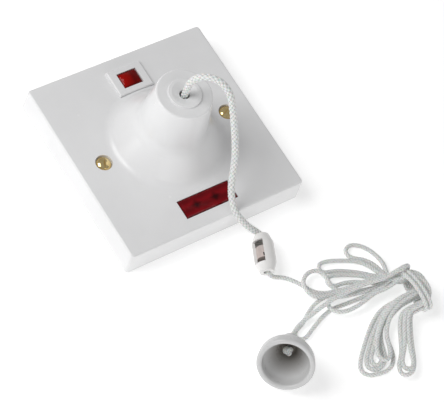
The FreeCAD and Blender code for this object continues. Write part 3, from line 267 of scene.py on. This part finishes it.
# The cord goes round the hank's right-hand corner again and again. Between visits it runs out
# along one leg, round a loop, and back. Each loop gives its height above the table at its far
# end, then the places that it passes, in millimetres.
FRONT_LOOPS = [
    (1.0, [(52, -102.2), (45, -102.2), (39, -104.6), (33, -109), (28, -113.2), (23.5, -117.2),
           (21, -121), (23, -124.3), (27.5, -125.4), (32, -126), (36, -124), (38.2, -120),
           (39, -115.5), (41, -111), (45, -107), (52, -104.8)]),
    (1.2, [(51, -102.6), (44.5, -103.8), (39, -106.8), (34, -110.8), (29.8, -114.6), (26, -118),
           (24.6, -120.9), (26.4, -123.2), (30, -123.6), (33.2, -121.8), (34.8, -118.4),
           (36.2, -114), (39, -109.6), (44, -106), (51, -104.2)]),
    (1.6, [(51, -102.2), (45, -104.2), (40, -107.4), (35.6, -111.4), (31.4, -115.2),
           (27.7, -118.4), (27.2, -120.9), (29, -122.6), (31.6, -121.2), (33, -117.6),
           (35, -113.2), (38.4, -109), (44, -105.4), (51, -103.8)]),
    (3.0, [(50, -108), (46, -112.2), (43, -118), (40, -123), (36, -126.4), (34.6, -129.6),
           (36.5, -131.8), (40.4, -131.2), (43.4, -127.5), (46, -122), (49, -116.4),
           (52.4, -110.4)]),
    (3.4, [(52, -102.8), (46, -104.6), (41, -107), (36, -111), (32, -115.6), (30.4, -119.4),
           (31.6, -122.4), (34.8, -122), (37, -118.4), (38.4, -113.6), (41.6, -109.4),
           (46, -106.2), (52, -104.4)]),
    (3.4, [(51, -108.4), (47.5, -112.8), (45, -117.4), (42.4, -121.4), (39.2, -124.4),
           (37.3, -127), (37.9, -129.5), (40.4, -130.2), (42.6, -127.8), (44.4, -122.8),
           (47.2, -116.6), (51.4, -109.4)]),
]
LEFT_LOOPS = [
    (1.0, [(55.2, -93.2), (56.4, -89.4), (57.8, -85), (57, -80), (55, -75.4), (51.4, -72.2),
           (47.8, -71.8), (45.6, -74), (46.8, -77.2), (51, -79.8), (54, -84), (55, -90)]),
    (1.0, [(52, -90), (46.4, -84.8), (42.6, -82), (37.6, -79.2), (34.4, -78.3), (31.8, -77.5),
           (30.9, -75.4), (32.4, -73.5), (35.2, -73.5), (39, -74.8), (44, -77), (48.8, -80),
           (51.6, -84.2), (53, -89)]),
    (1.8, [(52, -92), (45.6, -86.4), (41, -83.4), (36.4, -81.4), (33.4, -80.2), (31, -81),
           (30.2, -83.1), (32, -85), (36.6, -85.4), (41, -87), (46, -90.4), (52, -94)]),
    (3.0, [(50, -91.4), (42, -89.6), (34, -88.8), (27.2, -88), (22.8, -86.8), (20.2, -84),
           (19.6, -80.4), (21.2, -77), (25, -75.2), (29.2, -76), (30.9, -79.6), (30.2, -84.2),
           (32, -88.4), (38, -91.4), (46, -93.4), (52, -95.2)]),
    (3.0, [(52, -94.2), (44, -93.4), (37, -92), (32, -90.6), (28, -89.2), (24.8, -90), (24, -93),
           (26.6, -96), (31, -97.2), (37, -97), (44, -95.6), (51, -96.4)]),
    (1.0, [(50, -92), (40, -88.8), (30, -87.2), (24, -87.2), (19, -88.3), (15, -90.5), (11, -93),
           (8.2, -93.9), (5.8, -94.9), (4.9, -97), (6.4, -98.9), (9.2, -98.8), (12, -97.4),
           (15.5, -96), (20, -94.2), (26, -92.8), (34, -93.8), (43, -95), (50, -94.8),
           (55, -93.4)]),
]
# The way in from the connector's lead, and the way out from the tie to the bell
APPROACH = [
    (20.5, -78.4, 1), (22.6, -82.6, 1), (26.6, -85.6, 1.1), (33.6, -87.8, 2), (41, -88.8, 3),
    (49, -89.8, 4),
]
TO_PULL = [
    (62.9, -92.8, 8.2), (61.2, -92.6, 10.1), (57.6, -92.8, 10.3), (50, -93.2, 9),
    (42, -91.4, 7.6), (34, -90.6, 6.2), (25, -90.6, 5.2), (16, -91.8, 3.4), (10, -92.6, 1.6),
]
# The corner: its middle, its right-hand edge, the two places along X where a wide turn has
# room for straight ends, where the front leg is entered, and how the turns are spread and
# stacked so that they don't all lie in one line.
CORNER = (61.0, -100.0)
CORNER_EDGE = 66.4
CORNER_NEAR, CORNER_FAR = 57.0, 59.0
CORNER_ENTRIES = (-94.6, -95.4, -96.2)
CORNER_STAGGER, CORNER_PLACES = 0.3, 4
CORNER_FLAT = 0.41
CORNER_HEIGHT, CORNER_RISE = 2.8, 0.45
LEFT_DROP = 1
# How far from the corner a loop has come down to its end height, and where it starts to
SETTLED_AT, PILED_WITHIN = 30, 8
# The tie: an ellipse that goes round both legs, and moves aside a little with each turn
TIE_TURNS = 2
TIE_STEPS = 14
TIE_MIDDLE = (58.6, -102.4, 5.8)
TIE_ACROSS, TIE_UP = 9.4, 4.6
TIE_ASIDE = 2.2


def laid(places, end_height, corner_height):
    """Places of a loop with their heights: piled up by the corner and settled at the far end"""
    points = []
    for x, y in places:
        away = math.hypot(x - CORNER[0], y - CORNER[1])
        share = min(1, max(0, (SETTLED_AT - away) / (SETTLED_AT - PILED_WITHIN)))
        share = share * share * (3 - 2 * share)
        points.append((x, y, end_height + (corner_height - end_height) * share))
    return points


def corner_turn(leave, number, height):
    """Points round the corner from the left leg to the place where the front leg is entered"""
    enter = CORNER_ENTRIES[number % len(CORNER_ENTRIES)]
    radius = (enter - leave) / 2
    middle = (enter + leave) / 2
    out = CORNER_EDGE - radius - CORNER_STAGGER * (number % CORNER_PLACES)
    half_side = CORNER_FLAT * radius
    bend = [(out - half_side, enter, height), (out + half_side, enter, height),
            (out + radius, middle + half_side, height), (out + radius, middle - half_side, height),
            (out + half_side, leave, height), (out - half_side, leave, height)]
    if out - half_side > CORNER_FAR:
        bend = [(CORNER_NEAR, enter, height), *bend, (CORNER_NEAR, leave, height)]
    return bend


def tie_turns():
    """The turns that bind both legs at the corner, passing below and above them"""
    points = []
    for step in range(1, TIE_TURNS * TIE_STEPS + 1):
        angle = 2 * math.pi * step / TIE_STEPS
        points.append((TIE_MIDDLE[0] + TIE_ASIDE * step / TIE_STEPS,
                       TIE_MIDDLE[1] + TIE_ACROSS * math.cos(angle),
                       TIE_MIDDLE[2] + TIE_UP * math.sin(angle)))
    return points


def hank_route():
    """The lead's way in, the loops of both legs, the tie, and the way out to the pull"""
    route = list(APPROACH)
    turns = 0
    for front, left in zip(FRONT_LOOPS, LEFT_LOOPS):
        height = CORNER_HEIGHT + CORNER_RISE * turns
        route += corner_turn(front[1][0][1], turns, height)
        route += laid(front[1], front[0], height)
        route += corner_turn(front[1][-1][1], turns + 1, height + CORNER_RISE)[::-1]
        route += laid(left[1], left[0], height - LEFT_DROP)
        turns += 2
    return route + tie_turns() + TO_PULL


PULL_END = [(5.6, -94.6, 1.6), (3.2, -95.9, 2.2), (1.0, -97.3, 3.1)]
LOWER_ROUTE = LEAD_ROUTE + hank_route() + PULL_END


# ------------------------------------------------------------------ materials

def new_material(name):
    """A node material and its shader"""
    material = bpy.data.materials.new(name)
    material.use_nodes = True
    tree = material.node_tree
    return material, tree, tree.nodes["Principled BSDF"]


def add_node(tree, kind, **values):
    """A node with its inputs or properties set by name"""
    item = tree.nodes.new(kind)
    for name, value in values.items():
        if name in item.inputs:
            item.inputs[name].default_value = value
        else:
            setattr(item, name, value)
    return item


def noise(tree, scale, detail=3.0, roughness=0.5):
    """Noise in object coordinates, its scale in grains a metre"""
    place = add_node(tree, "ShaderNodeTexCoord")
    item = add_node(tree, "ShaderNodeTexNoise", Scale=scale, Detail=detail,
                    Roughness=roughness)
    tree.links.new(place.outputs["Object"], item.inputs["Vector"])
    return item


def spread_of(tree, source, low, high):
    """Map a value from 0 to 1 on to a range"""
    item = add_node(tree, "ShaderNodeMapRange")
    item.inputs["To Min"].default_value = low
    item.inputs["To Max"].default_value = high
    tree.links.new(source, item.inputs["Value"])
    return item.outputs["Result"]


def two_colours(tree, source, first, second, low=0.35, high=0.65):
    """A colour between two, chosen by a value"""
    ramp = add_node(tree, "ShaderNodeValToRGB")
    ramp.color_ramp.elements[0].position = low
    ramp.color_ramp.elements[0].color = (*first, 1)
    ramp.color_ramp.elements[1].position = high
    ramp.color_ramp.elements[1].color = (*second, 1)
    tree.links.new(source, ramp.inputs["Fac"])
    return ramp.outputs["Color"]


def bumped(tree, shader, height, strength, distance):
    """Raise a surface by a value, with the full height given in metres"""
    bump = add_node(tree, "ShaderNodeBump", Strength=strength, Distance=distance)
    tree.links.new(height, bump.inputs["Height"])
    tree.links.new(bump.outputs["Normal"], shader.inputs["Normal"])


def moulded(name, light, dark, gloss, grain=900, depth=0.00002, coat=0.0):
    """Moulded plastic: even colour with faint mottling, and the slight ripple of a mould"""
    material, tree, shader = new_material(name)
    mottle = noise(tree, 60)
    tree.links.new(two_colours(tree, mottle.outputs["Fac"], dark, light),
                   shader.inputs["Base Color"])
    scuffs = noise(tree, 220, 6.0, 0.6)
    tree.links.new(spread_of(tree, scuffs.outputs["Fac"], gloss * 0.75, gloss * 1.3),
                   shader.inputs["Roughness"])
    bumped(tree, shader, noise(tree, grain).outputs["Fac"], 0.12, depth)
    shader.inputs["Coat Weight"].default_value = coat
    shader.inputs["Coat Roughness"].default_value = 0.06
    return material


def metal(name, light, dark, gloss, brushed=1500):
    """Turned or drawn metal with fine marks and slight tarnish"""
    material, tree, shader = new_material(name)
    stain = noise(tree, 350, 5.0, 0.6)
    tree.links.new(two_colours(tree, stain.outputs["Fac"], dark, light),
                   shader.inputs["Base Color"])
    marks = noise(tree, brushed, 4.0)
    tree.links.new(spread_of(tree, marks.outputs["Fac"], gloss * 0.6, gloss * 1.6),
                   shader.inputs["Roughness"])
    bumped(tree, shader, marks.outputs["Fac"], 0.15, 0.00003)
    shader.inputs["Metallic"].default_value = 1.0
    return material


def tinted(name, deep, shallow, gloss, through):
    """Coloured clear plastic"""
    material, tree, shader = new_material(name)
    swirl = noise(tree, 180, 2.0)
    tree.links.new(two_colours(tree, swirl.outputs["Fac"], deep, shallow),
                   shader.inputs["Base Color"])
    tree.links.new(spread_of(tree, noise(tree, 500).outputs["Fac"], gloss * 0.6, gloss * 1.5),
                   shader.inputs["Roughness"])
    bumped(tree, shader, swirl.outputs["Fac"], 0.1, 0.00005)
    shader.inputs["Transmission Weight"].default_value = through
    shader.inputs["IOR"].default_value = 1.49
    return material


def braid_material(name, crown, gap):
    """White polyester: bright where a strand stands out, with painted grey-green shade in the gaps
    between
    """
    material, tree, shader = new_material(name)
    raised = add_node(tree, "ShaderNodeAttribute", attribute_name="braid")
    tree.links.new(two_colours(tree, raised.outputs["Fac"], gap, crown, 0.1, 0.75),
                   shader.inputs["Base Color"])
    lay = add_node(tree, "ShaderNodeUVMap", uv_map="cord")
    fibres = add_node(tree, "ShaderNodeTexWave", Scale=14.0, Distortion=2.0, Detail=2.0)
    tree.links.new(lay.outputs["UV"], fibres.inputs["Vector"])
    bumped(tree, shader, fibres.outputs["Fac"], 0.3, 0.00006)
    tree.links.new(spread_of(tree, fibres.outputs["Fac"], 0.45, 0.65), shader.inputs["Roughness"])
    shader.inputs["Sheen Weight"].default_value = 0.25
    shader.inputs["Subsurface Weight"].default_value = 0.15
    shader.inputs["Subsurface Scale"].default_value = 0.0006
    return material


def window_material(name, dark, bright):
    """Deep red clear plastic whose tone follows the tone painted on its shape, which holds painted
    light and shade
    """
    material, tree, shader = new_material(name)
    tone = add_node(tree, "ShaderNodeAttribute", attribute_name="tone")
    tree.links.new(two_colours(tree, tone.outputs["Fac"], dark, bright, 0.0, 1.0),
                   shader.inputs["Base Color"])
    tree.links.new(spread_of(tree, noise(tree, 500).outputs["Fac"], 0.05, 0.14),
                   shader.inputs["Roughness"])
    bumped(tree, shader, noise(tree, 260, 2.0).outputs["Fac"], 0.12, 0.00006)
    shader.inputs["Specular IOR Level"].default_value = 0.14
    return material


def bell_material():
    """Light grey plastic, with painted shade that makes it browner and darker towards the bottom
    of the bowl
    """
    material, tree, shader = new_material("bell_grey_painted_shade")
    depth = add_node(tree, "ShaderNodeAttribute", attribute_name="depth")
    # Painted shade: the second colour darkens the inside of the bowl towards its bottom
    tree.links.new(two_colours(tree, depth.outputs["Fac"], (0.62, 0.62, 0.62),
                               (0.19, 0.172, 0.15), 0.42, 1.0), shader.inputs["Base Color"])
    tree.links.new(spread_of(tree, noise(tree, 220, 6.0, 0.6).outputs["Fac"], 0.22, 0.36),
                   shader.inputs["Roughness"])
    bumped(tree, shader, noise(tree, 900).outputs["Fac"], 0.12, 0.00002)
    return material


WHITE = (0.84, 0.84, 0.845)
finishes = {
    "shell_white": moulded("glossy_white_moulding", WHITE, (0.815, 0.815, 0.82), gloss=0.24),
    "base_white": moulded("satin_white_moulding", (0.78, 0.78, 0.77), (0.74, 0.74, 0.73),
                          gloss=0.4),
    "nylon": moulded("nylon", (0.75, 0.74, 0.68), (0.70, 0.69, 0.62), gloss=0.42),
    "brass": metal("brass", (0.93, 0.76, 0.42), (0.82, 0.62, 0.28), gloss=0.12),
    "steel": metal("spring_steel", (0.62, 0.62, 0.63), (0.48, 0.48, 0.5), gloss=0.25),
    "copper": metal("copper", (0.86, 0.43, 0.26), (0.66, 0.3, 0.17), gloss=0.26),
    "silver": metal("silver", (0.9, 0.89, 0.87), (0.76, 0.75, 0.72), gloss=0.2),
    "flag_red": moulded("red_flag_paint", (0.5, 0.01, 0.01), (0.42, 0.008, 0.008), gloss=0.35),
    "lens_red": tinted("red_flag_window", (0.45, 0.006, 0.006), (0.58, 0.015, 0.012),
                       gloss=0.08, through=0.35),
    "neon_red": tinted("dark_red_neon_window", (0.2, 0.004, 0.003), (0.3, 0.01, 0.006),
                       gloss=0.08, through=0.4),
    "lamp_glass": tinted("lamp_glass", (0.8, 0.75, 0.7), (0.9, 0.88, 0.85),
                         gloss=0.05, through=0.8),
    "resistor_body": moulded("resistor_body", (0.55, 0.42, 0.26), (0.46, 0.34, 0.2), gloss=0.5),
    "lead_white": moulded("lead_insulation", (0.78, 0.77, 0.74), (0.72, 0.71, 0.68), gloss=0.45),
    "cord_white": moulded("cord_core", (0.8, 0.81, 0.79), (0.7, 0.72, 0.7), gloss=0.6),
    "connector_white": moulded("connector_white", (0.86, 0.85, 0.84), (0.83, 0.82, 0.8),
                               gloss=0.22),
    "knob_grey": moulded("knob_grey", (0.66, 0.66, 0.66), (0.62, 0.62, 0.62),
                         gloss=0.26, coat=0.1),
}
for name, item in nodes.items():
    item.data.materials.clear()
    item.data.materials.append(finishes[slot_of[name]])

nodes["connector_insert"].data.materials.clear()
nodes["connector_insert"].data.materials.append(
    moulded("connector_core", (0.52, 0.44, 0.41), (0.40, 0.37, 0.36), gloss=0.35))

# The second colour is painted shade for the gaps between strands
white_braid = braid_material("white_braid", (0.86, 0.87, 0.86), (0.42, 0.45, 0.42))


def dressed(item, material, body=HOUSING):
    """Give a piece its material and the body it rides on"""
    item.data.materials.clear()
    item.data.materials.append(material)
    if body:
        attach(item, body)
    return item


# ------------------------------------------------------------------ pieces

BELL_TILT = math.radians(30.43)
BELL_HEADING = math.radians(40.6)
BELL_MOUTH = (-11.8, -108.4, 13.056)
BELL_OUTLINE = [
    (9.3, 0, 1.0), (11.6, 0, 1.0), (11.1, 5.2, 5.0), (3.1, 16.0, 3.4), (3.1, 20.5, 0.5),
    (1.25, 20.5, 0.3), (1.25, 13.6, 0), (2.8, 13.6, 0.4), (9.4, 5.0, 4.6),
]
BELL_BOWL_DEPTH = 13.6
BELL_WALL = 1.2
BELL_WIDEST, BELL_SHOULDER, BELL_TAPER = 12.0, 5, 0.89
BOWL_SPARE = 0.1
KNOT_DEPTH = 11.2
KNOT_SIZE = 0.47
KNOT_STEPS = 72


def bell_place():
    """Where the bell lies: its mouth's middle, its length turned to the hank and tipped down"""
    axis = Vector((math.cos(BELL_TILT) * math.cos(BELL_HEADING),
                   math.cos(BELL_TILT) * math.sin(BELL_HEADING), -math.sin(BELL_TILT)))
    turn = axis.to_track_quat("Z", "X").to_matrix().to_4x4()
    return Matrix.Translation(Vector(BELL_MOUTH) * MM) @ turn


def make_bell():
    """The pull's bell, with painted shade deepening towards the bottom of its bowl, and the knot
    in it
    """
    shape = turned_shape(BELL_OUTLINE, steps=96)
    # How deep a point lies inside the bowl, which the bell's material turns into painted shade
    depth = shape.verts.layers.float.new("depth")
    for vertex in shape.verts:
        out = math.hypot(vertex.co.x, vertex.co.y) / MM
        along = vertex.co.z / MM
        wall = BELL_WIDEST - max(0, along - BELL_SHOULDER) * BELL_TAPER
        inside = out < wall - BELL_WALL and along < BELL_BOWL_DEPTH + BOWL_SPARE
        vertex[depth] = min(1, along / BELL_BOWL_DEPTH) if inside else 0.0
    bmesh.ops.transform(shape, matrix=bell_place(), verts=shape.verts)
    bell = finished("pull_bell", shape, sharp_above=50)
    dressed(bell, bell_material())
    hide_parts("pull_knob")
    line = []  # a trefoil knot
    for step in range(KNOT_STEPS + 1):
        turn = 2 * math.pi * step / KNOT_STEPS
        place = Vector((math.sin(turn) + 2 * math.sin(2 * turn),
                        math.cos(turn) - 2 * math.cos(2 * turn), -math.sin(3 * turn)))
        line.append(bell_place() @ (place * KNOT_SIZE * MM + Vector((0, 0, KNOT_DEPTH * MM))))
    knot = braided_tube("bell_knot", line, KNOT_BRAID)
    dressed(knot, white_braid)
    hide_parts("knob_knot")
    return bell, knot


JOINT_PLACE = (15.6, -53.0, 4.5)
JOINT_HEADING = math.radians(245)
JOINT_OUTLINE = [
    (1.7, 0, 0.2), (3.0, 0, 0.5), (4.5, 4.0, 5.0), (4.5, 13.0, 5.0), (3.0, 17.0, 0.5),
    (1.4, 17.0, 0.2), (1.4, 14.6, 0), (3.2, 14.6, 0), (3.2, 13.4, 0), (3.2, 3.6, 0),
    (3.2, 2.4, 0), (1.7, 2.4, 0),
]
WINDOW_HALF_ANGLE = math.radians(41)
WINDOW_LOW, WINDOW_HIGH = 3.5, 13.5
WINDOW_BACK, WINDOW_LEFT = 0.8, 0.6


def make_connector():
    """The barrel that joins the two cords, its window turned up and to the left"""
    shape = turned_shape(JOINT_OUTLINE, steps=72)
    for level in (WINDOW_LOW, WINDOW_HIGH):
        geometry = shape.verts[:] + shape.edges[:] + shape.faces[:]
        bmesh.ops.bisect_plane(shape, geom=geometry, dist=CUT_REACH,
                               plane_co=(0, 0, level * MM), plane_no=(0, 0, 1))
    window = []
    for face in shape.faces:
        middle = face.calc_center_median()
        turned_to = abs(math.atan2(middle.y, middle.x)) < WINDOW_HALF_ANGLE
        if turned_to and WINDOW_LOW * MM < middle.z < WINDOW_HIGH * MM:
            window.append(face)
    bmesh.ops.delete(shape, geom=window, context="FACES")
    rim = [edge for edge in shape.edges if edge.is_boundary]
    bmesh.ops.bridge_loops(shape, edges=rim)
    bmesh.ops.recalc_face_normals(shape, faces=shape.faces)
    along = Vector((math.cos(JOINT_HEADING), math.sin(JOINT_HEADING), 0))
    facing = CAMERA_BACK * WINDOW_BACK - CAMERA_RIGHT * WINDOW_LEFT
    facing = (facing - along * facing.dot(along)).normalized()
    turn = Matrix((facing, along.cross(facing), along)).transposed().to_4x4()
    place = Matrix.Translation(Vector(JOINT_PLACE) * MM) @ turn
    bmesh.ops.transform(shape, matrix=place, verts=shape.verts)
    barrel = finished("cord_joint", shape, sharp_above=40)
    dressed(barrel, finishes["connector_white"])
    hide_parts("connector_shell")
    return barrel


SCREW_PLACES = (30.15, -30.15)
SCREW_OUTLINE = [
    (0, 12.3, 0), (1.2, 12.22, 0), (2.2, 11.9, 0), (2.9, 11.4, 0), (3.25, 10.8, 0.2),
    (3.25, 10.4, 0.1), (1.75, 10.4, 0), (1.75, 1.2, 0), (1.2, 0.6, 0), (0, 0.6, 0),
]
SLOT_HALF = 0.42
SLOT_FLOOR = 11.3
SLOT_WALL = 0.03
SLOT_TURNS = (20, 65)


def make_screws():
    """Two brass screws with low domed heads and a driver slot across each"""
    for number, place in enumerate(SCREW_PLACES, start=1):
        shape = turned_shape(SCREW_OUTLINE, steps=48)
        for side in (1, -1):
            for half in (SLOT_HALF, SLOT_HALF - SLOT_WALL):
                geometry = shape.verts[:] + shape.edges[:] + shape.faces[:]
                bmesh.ops.bisect_plane(shape, geom=geometry, dist=CUT_REACH,
                                       plane_co=(0, side * half * MM, 0), plane_no=(0, 1, 0))
        for vertex in shape.verts:
            if abs(vertex.co.y) < (SLOT_HALF - SLOT_WALL / 2) * MM:
                vertex.co.z = min(vertex.co.z, SLOT_FLOOR * MM)
        turn = Matrix.Rotation(math.radians(SLOT_TURNS[number - 1]), 4, "Z")
        shift = Matrix.Translation((place * MM, 0, 0))
        bmesh.ops.transform(shape, matrix=shift @ turn, verts=shape.verts)
        screw = finished(f"brass_screw_{number}", shape, sharp_above=35)
        dressed(screw, finishes["brass"])
        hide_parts("fixing_screws")


# A window: its middle, its half width and half length, the heights of its foot and its face,
# its bevel and how far its face bulges, in millimetres.
Window = namedtuple("Window", "middle halves bottom top bevel bulge")
NEON_WINDOW = Window((0, -32.2), (12.4, 4.2), bottom=10.6, top=12.35, bevel=0.7, bulge=0.1)
FLAG_WINDOW = Window((0, 30.0), (4.55, 3.6), bottom=11.6, top=13.4, bevel=0.9, bulge=0.9)
# Tones of painted shade and painted light on the sides of a window's rim
RIM_PAINTED_SHADE, RIM_PAINTED_LIGHT = 0.12, 0.5


def lens_shape(window, tone):
    """A window with a bevelled rim and a slightly bulged face, toned by a function of place, its
    rim painted with light and shade by the way each side faces
    """
    middle, halves, bottom, top, bevel, bulge = window
    shape = bmesh.new()
    bmesh.ops.create_grid(shape, x_segments=60, y_segments=24, size=1)
    toned = shape.verts.layers.float.new("tone")
    inner = Vector((halves[0] - bevel, halves[1] - bevel))
    for vertex in shape.verts:
        across, along = vertex.co.x, vertex.co.y
        vertex[toned] = tone(across * inner.x, along * inner.y)
        rise = bulge * (1 - across * across) * (1 - along * along)
        vertex.co = Vector((across * inner.x, along * inner.y, top + rise))
    for height, grow in ((top - bevel, bevel), (bottom, 0)):
        rim = [edge for edge in shape.edges if edge.is_boundary]
        pushed = bmesh.ops.extrude_edge_only(shape, edges=rim)["geom"]
        for vertex in (item for item in pushed if isinstance(item, bmesh.types.BMVert)):
            vertex.co.x += grow * vertex.co.x / inner.x
            vertex.co.y += grow * vertex.co.y / inner.y
            vertex.co.z = height
            # Painted light and shade: the rim's sides towards -Y and -X are painted dark, the
            # others light
            shaded = vertex.co.y < 0 or vertex.co.x < -inner.x
            vertex[toned] = RIM_PAINTED_SHADE if shaded else RIM_PAINTED_LIGHT
    bmesh.ops.holes_fill(shape, edges=[edge for edge in shape.edges if edge.is_boundary])
    bmesh.ops.recalc_face_normals(shape, faces=shape.faces)
    place = Matrix.Translation((middle[0] * MM, middle[1] * MM, 0)) @ Matrix.Scale(MM, 4)
    bmesh.ops.transform(shape, matrix=place, verts=shape.verts)
    return shape


# The painted shade of the lamp and its resistor: the lozenges' middles across the window, and
# their half width and half length, in millimetres
LOZENGE_MIDDLES = (-5.6, 3.4)
LOZENGE_HALVES = (3.4, 2.6)


def neon_tone(across, along):
    """Painted shade and light seen through the window: two dark lozenges where the lamp and its
    resistor lie, and lighter streaks between
    """
    half_width, half_length = LOZENGE_HALVES
    lozenges = max(1 - abs(across - middle) / half_width - abs(along) / half_length
                   for middle in LOZENGE_MIDDLES)
    # Painted light: lighter streaks along the window
    streak = 0.16 * math.sin(along * 1.5 + 0.5) + 0.06 * math.sin(across * 0.8)
    return min(1, max(0, 0.6 + streak - 0.9 * max(0, lozenges)))


def flag_tone(across, along):
    """Lighter to the left, where the light comes through"""
    return min(1, max(0, 0.55 - 0.1 * across - 0.25 * math.exp(-(across - 1.2) ** 2)))


def make_lenses():
    """The two red windows, set in the cover and in the bezel"""
    neon = finished("neon_window", lens_shape(NEON_WINDOW, neon_tone), sharp_above=30)
    dressed(neon, window_material("crimson_window", (0.035, 0.001, 0.002),
                                  (0.26, 0.004, 0.009)))
    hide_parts("neon_lens")
    flag = finished("flag_window", lens_shape(FLAG_WINDOW, flag_tone), sharp_above=30)
    dressed(flag, window_material("deep_red_window", (0.09, 0.0008, 0.0004),
                                  (0.36, 0.003, 0.001)))
    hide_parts("flag_lens")


SPRING_WIRE = 0.35
SPRING_TURNS = 7
SPRING_TURN_STEPS = 40
SPRING_SKIN = Braid(diameter=2 * SPRING_WIRE, sides=12, strands=1, pitch=1, relief=0)


def make_return_spring():
    """The plunger's spring, a still coil of wire; the real one shortens towards the dome's top as
    the cord is pulled
    """
    node = nodes["return_spring"]
    corners = [node.matrix_world @ Vector(corner) for corner in node.bound_box]
    low = min(corner.z for corner in corners)
    high = max(corner.z for corner in corners)
    reach = max(corner.x for corner in corners) - SPRING_WIRE * MM
    steps = SPRING_TURNS * SPRING_TURN_STEPS
    line = []
    for step in range(steps + 1):
        turn = 2 * math.pi * SPRING_TURNS * step / steps
        height = low + SPRING_WIRE * MM + (high - low - 2 * SPRING_WIRE * MM) * step / steps
        line.append(Vector((reach * math.cos(turn), reach * math.sin(turn), height)))
    spring = braided_tube("return_spring_wire", line, SPRING_SKIN)
    dressed(spring, finishes["steel"])
    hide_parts("return_spring")
    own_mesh(spring)


UPPER_STEP = 0.22
LOWER_STEP = 0.36


def make_upper_cord(barrel):
    """The thick cord, a still braided tube; the real one's far end lies still while its near end
    follows the plunger
    """
    line, length = even_steps(spline_line(UPPER_ROUTE, "upper_line"), UPPER_STEP * MM)
    item = braided_tube("upper_cord_braid", line, UPPER_BRAID)
    dressed(item, white_braid, body=None)
    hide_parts("upper_cord")
    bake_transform(item)
    return item


def make_lower_cord(pull_pieces):
    """The thin cord: from the connector, through the hank, to the bell"""
    line, length = even_steps(spline_line(LOWER_ROUTE, "lower_line"), LOWER_STEP * MM)
    item = braided_tube("lower_cord_braid", line, LOWER_BRAID)
    dressed(item, white_braid)
    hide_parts("lower_lead", "hank_left", "hank_front", "hank_end", "hank_tie",
                "lower_tail")
    return item


make_screws()
make_lenses()
make_return_spring()
make_upper_cord(make_connector())
make_lower_cord(make_bell())


# ------------------------------------------------------------------ floor and light

FLOOR_HALF = 3
FLOOR_DROP = 0.0002
LIT_AT = Vector((0.02, -0.03, 0))


def make_floor():
    """A white table, just under the switch and its cords"""
    shape = bmesh.new()
    bmesh.ops.create_grid(shape, x_segments=1, y_segments=1, size=FLOOR_HALF)
    floor = finished("floor", shape)
    floor.location.z = -FLOOR_DROP
    material, tree, shader = new_material("white_table")
    tone = noise(tree, 4)
    colour = two_colours(tree, tone.outputs["Fac"], (0.9, 0.9, 0.9), (0.93, 0.93, 0.93))
    tree.links.new(colour, shader.inputs["Base Color"])
    shader.inputs["Roughness"].default_value = 0.8
    shader.inputs["Emission Color"].default_value = (1, 1, 1, 1)
    shader.inputs["Emission Strength"].default_value = 0.4
    floor.data.materials.append(material)


def softbox(name, place, width, height, power):
    """A rectangular light that faces the switch"""
    lamp = bpy.data.lights.new(name, "AREA")
    lamp.shape = "RECTANGLE"
    lamp.size = width
    lamp.size_y = height
    lamp.energy = power
    item = bpy.data.objects.new(name, lamp)
    item.location = place
    aim = LIT_AT - Vector(place)
    item.rotation_euler = aim.to_track_quat("-Z", "Y").to_euler()
    bpy.context.scene.collection.objects.link(item)


def seen_from(azimuth, elevation, distance):
    """A place round the switch, by the angle round it, the angle above it and how far off"""
    turn, climb = math.radians(azimuth), math.radians(elevation)
    return (distance * math.cos(climb) * math.cos(turn),
            distance * math.cos(climb) * math.sin(turn), distance * math.sin(climb))


def make_light():
    """A soft key from the far left, a low fill from the front, a strip for the dome's skirt"""
    world = bpy.data.worlds.new("studio")
    bpy.context.scene.world = world
    world.use_nodes = True
    background = world.node_tree.nodes["Background"].inputs
    background["Color"].default_value = (1, 1, 1, 1)
    background["Strength"].default_value = 0.33
    softbox("key", seen_from(150, 49, 0.95), width=0.6, height=0.5, power=4.7)
    softbox("low_fill", seen_from(268, 16, 0.9), width=1.2, height=0.4, power=2.3)
    softbox("skirt_strip", seen_from(161, 18, 0.9), width=0.3, height=0.14, power=0.45)
    bpy.context.scene.view_settings.view_transform = "Standard"


make_floor()
make_light()
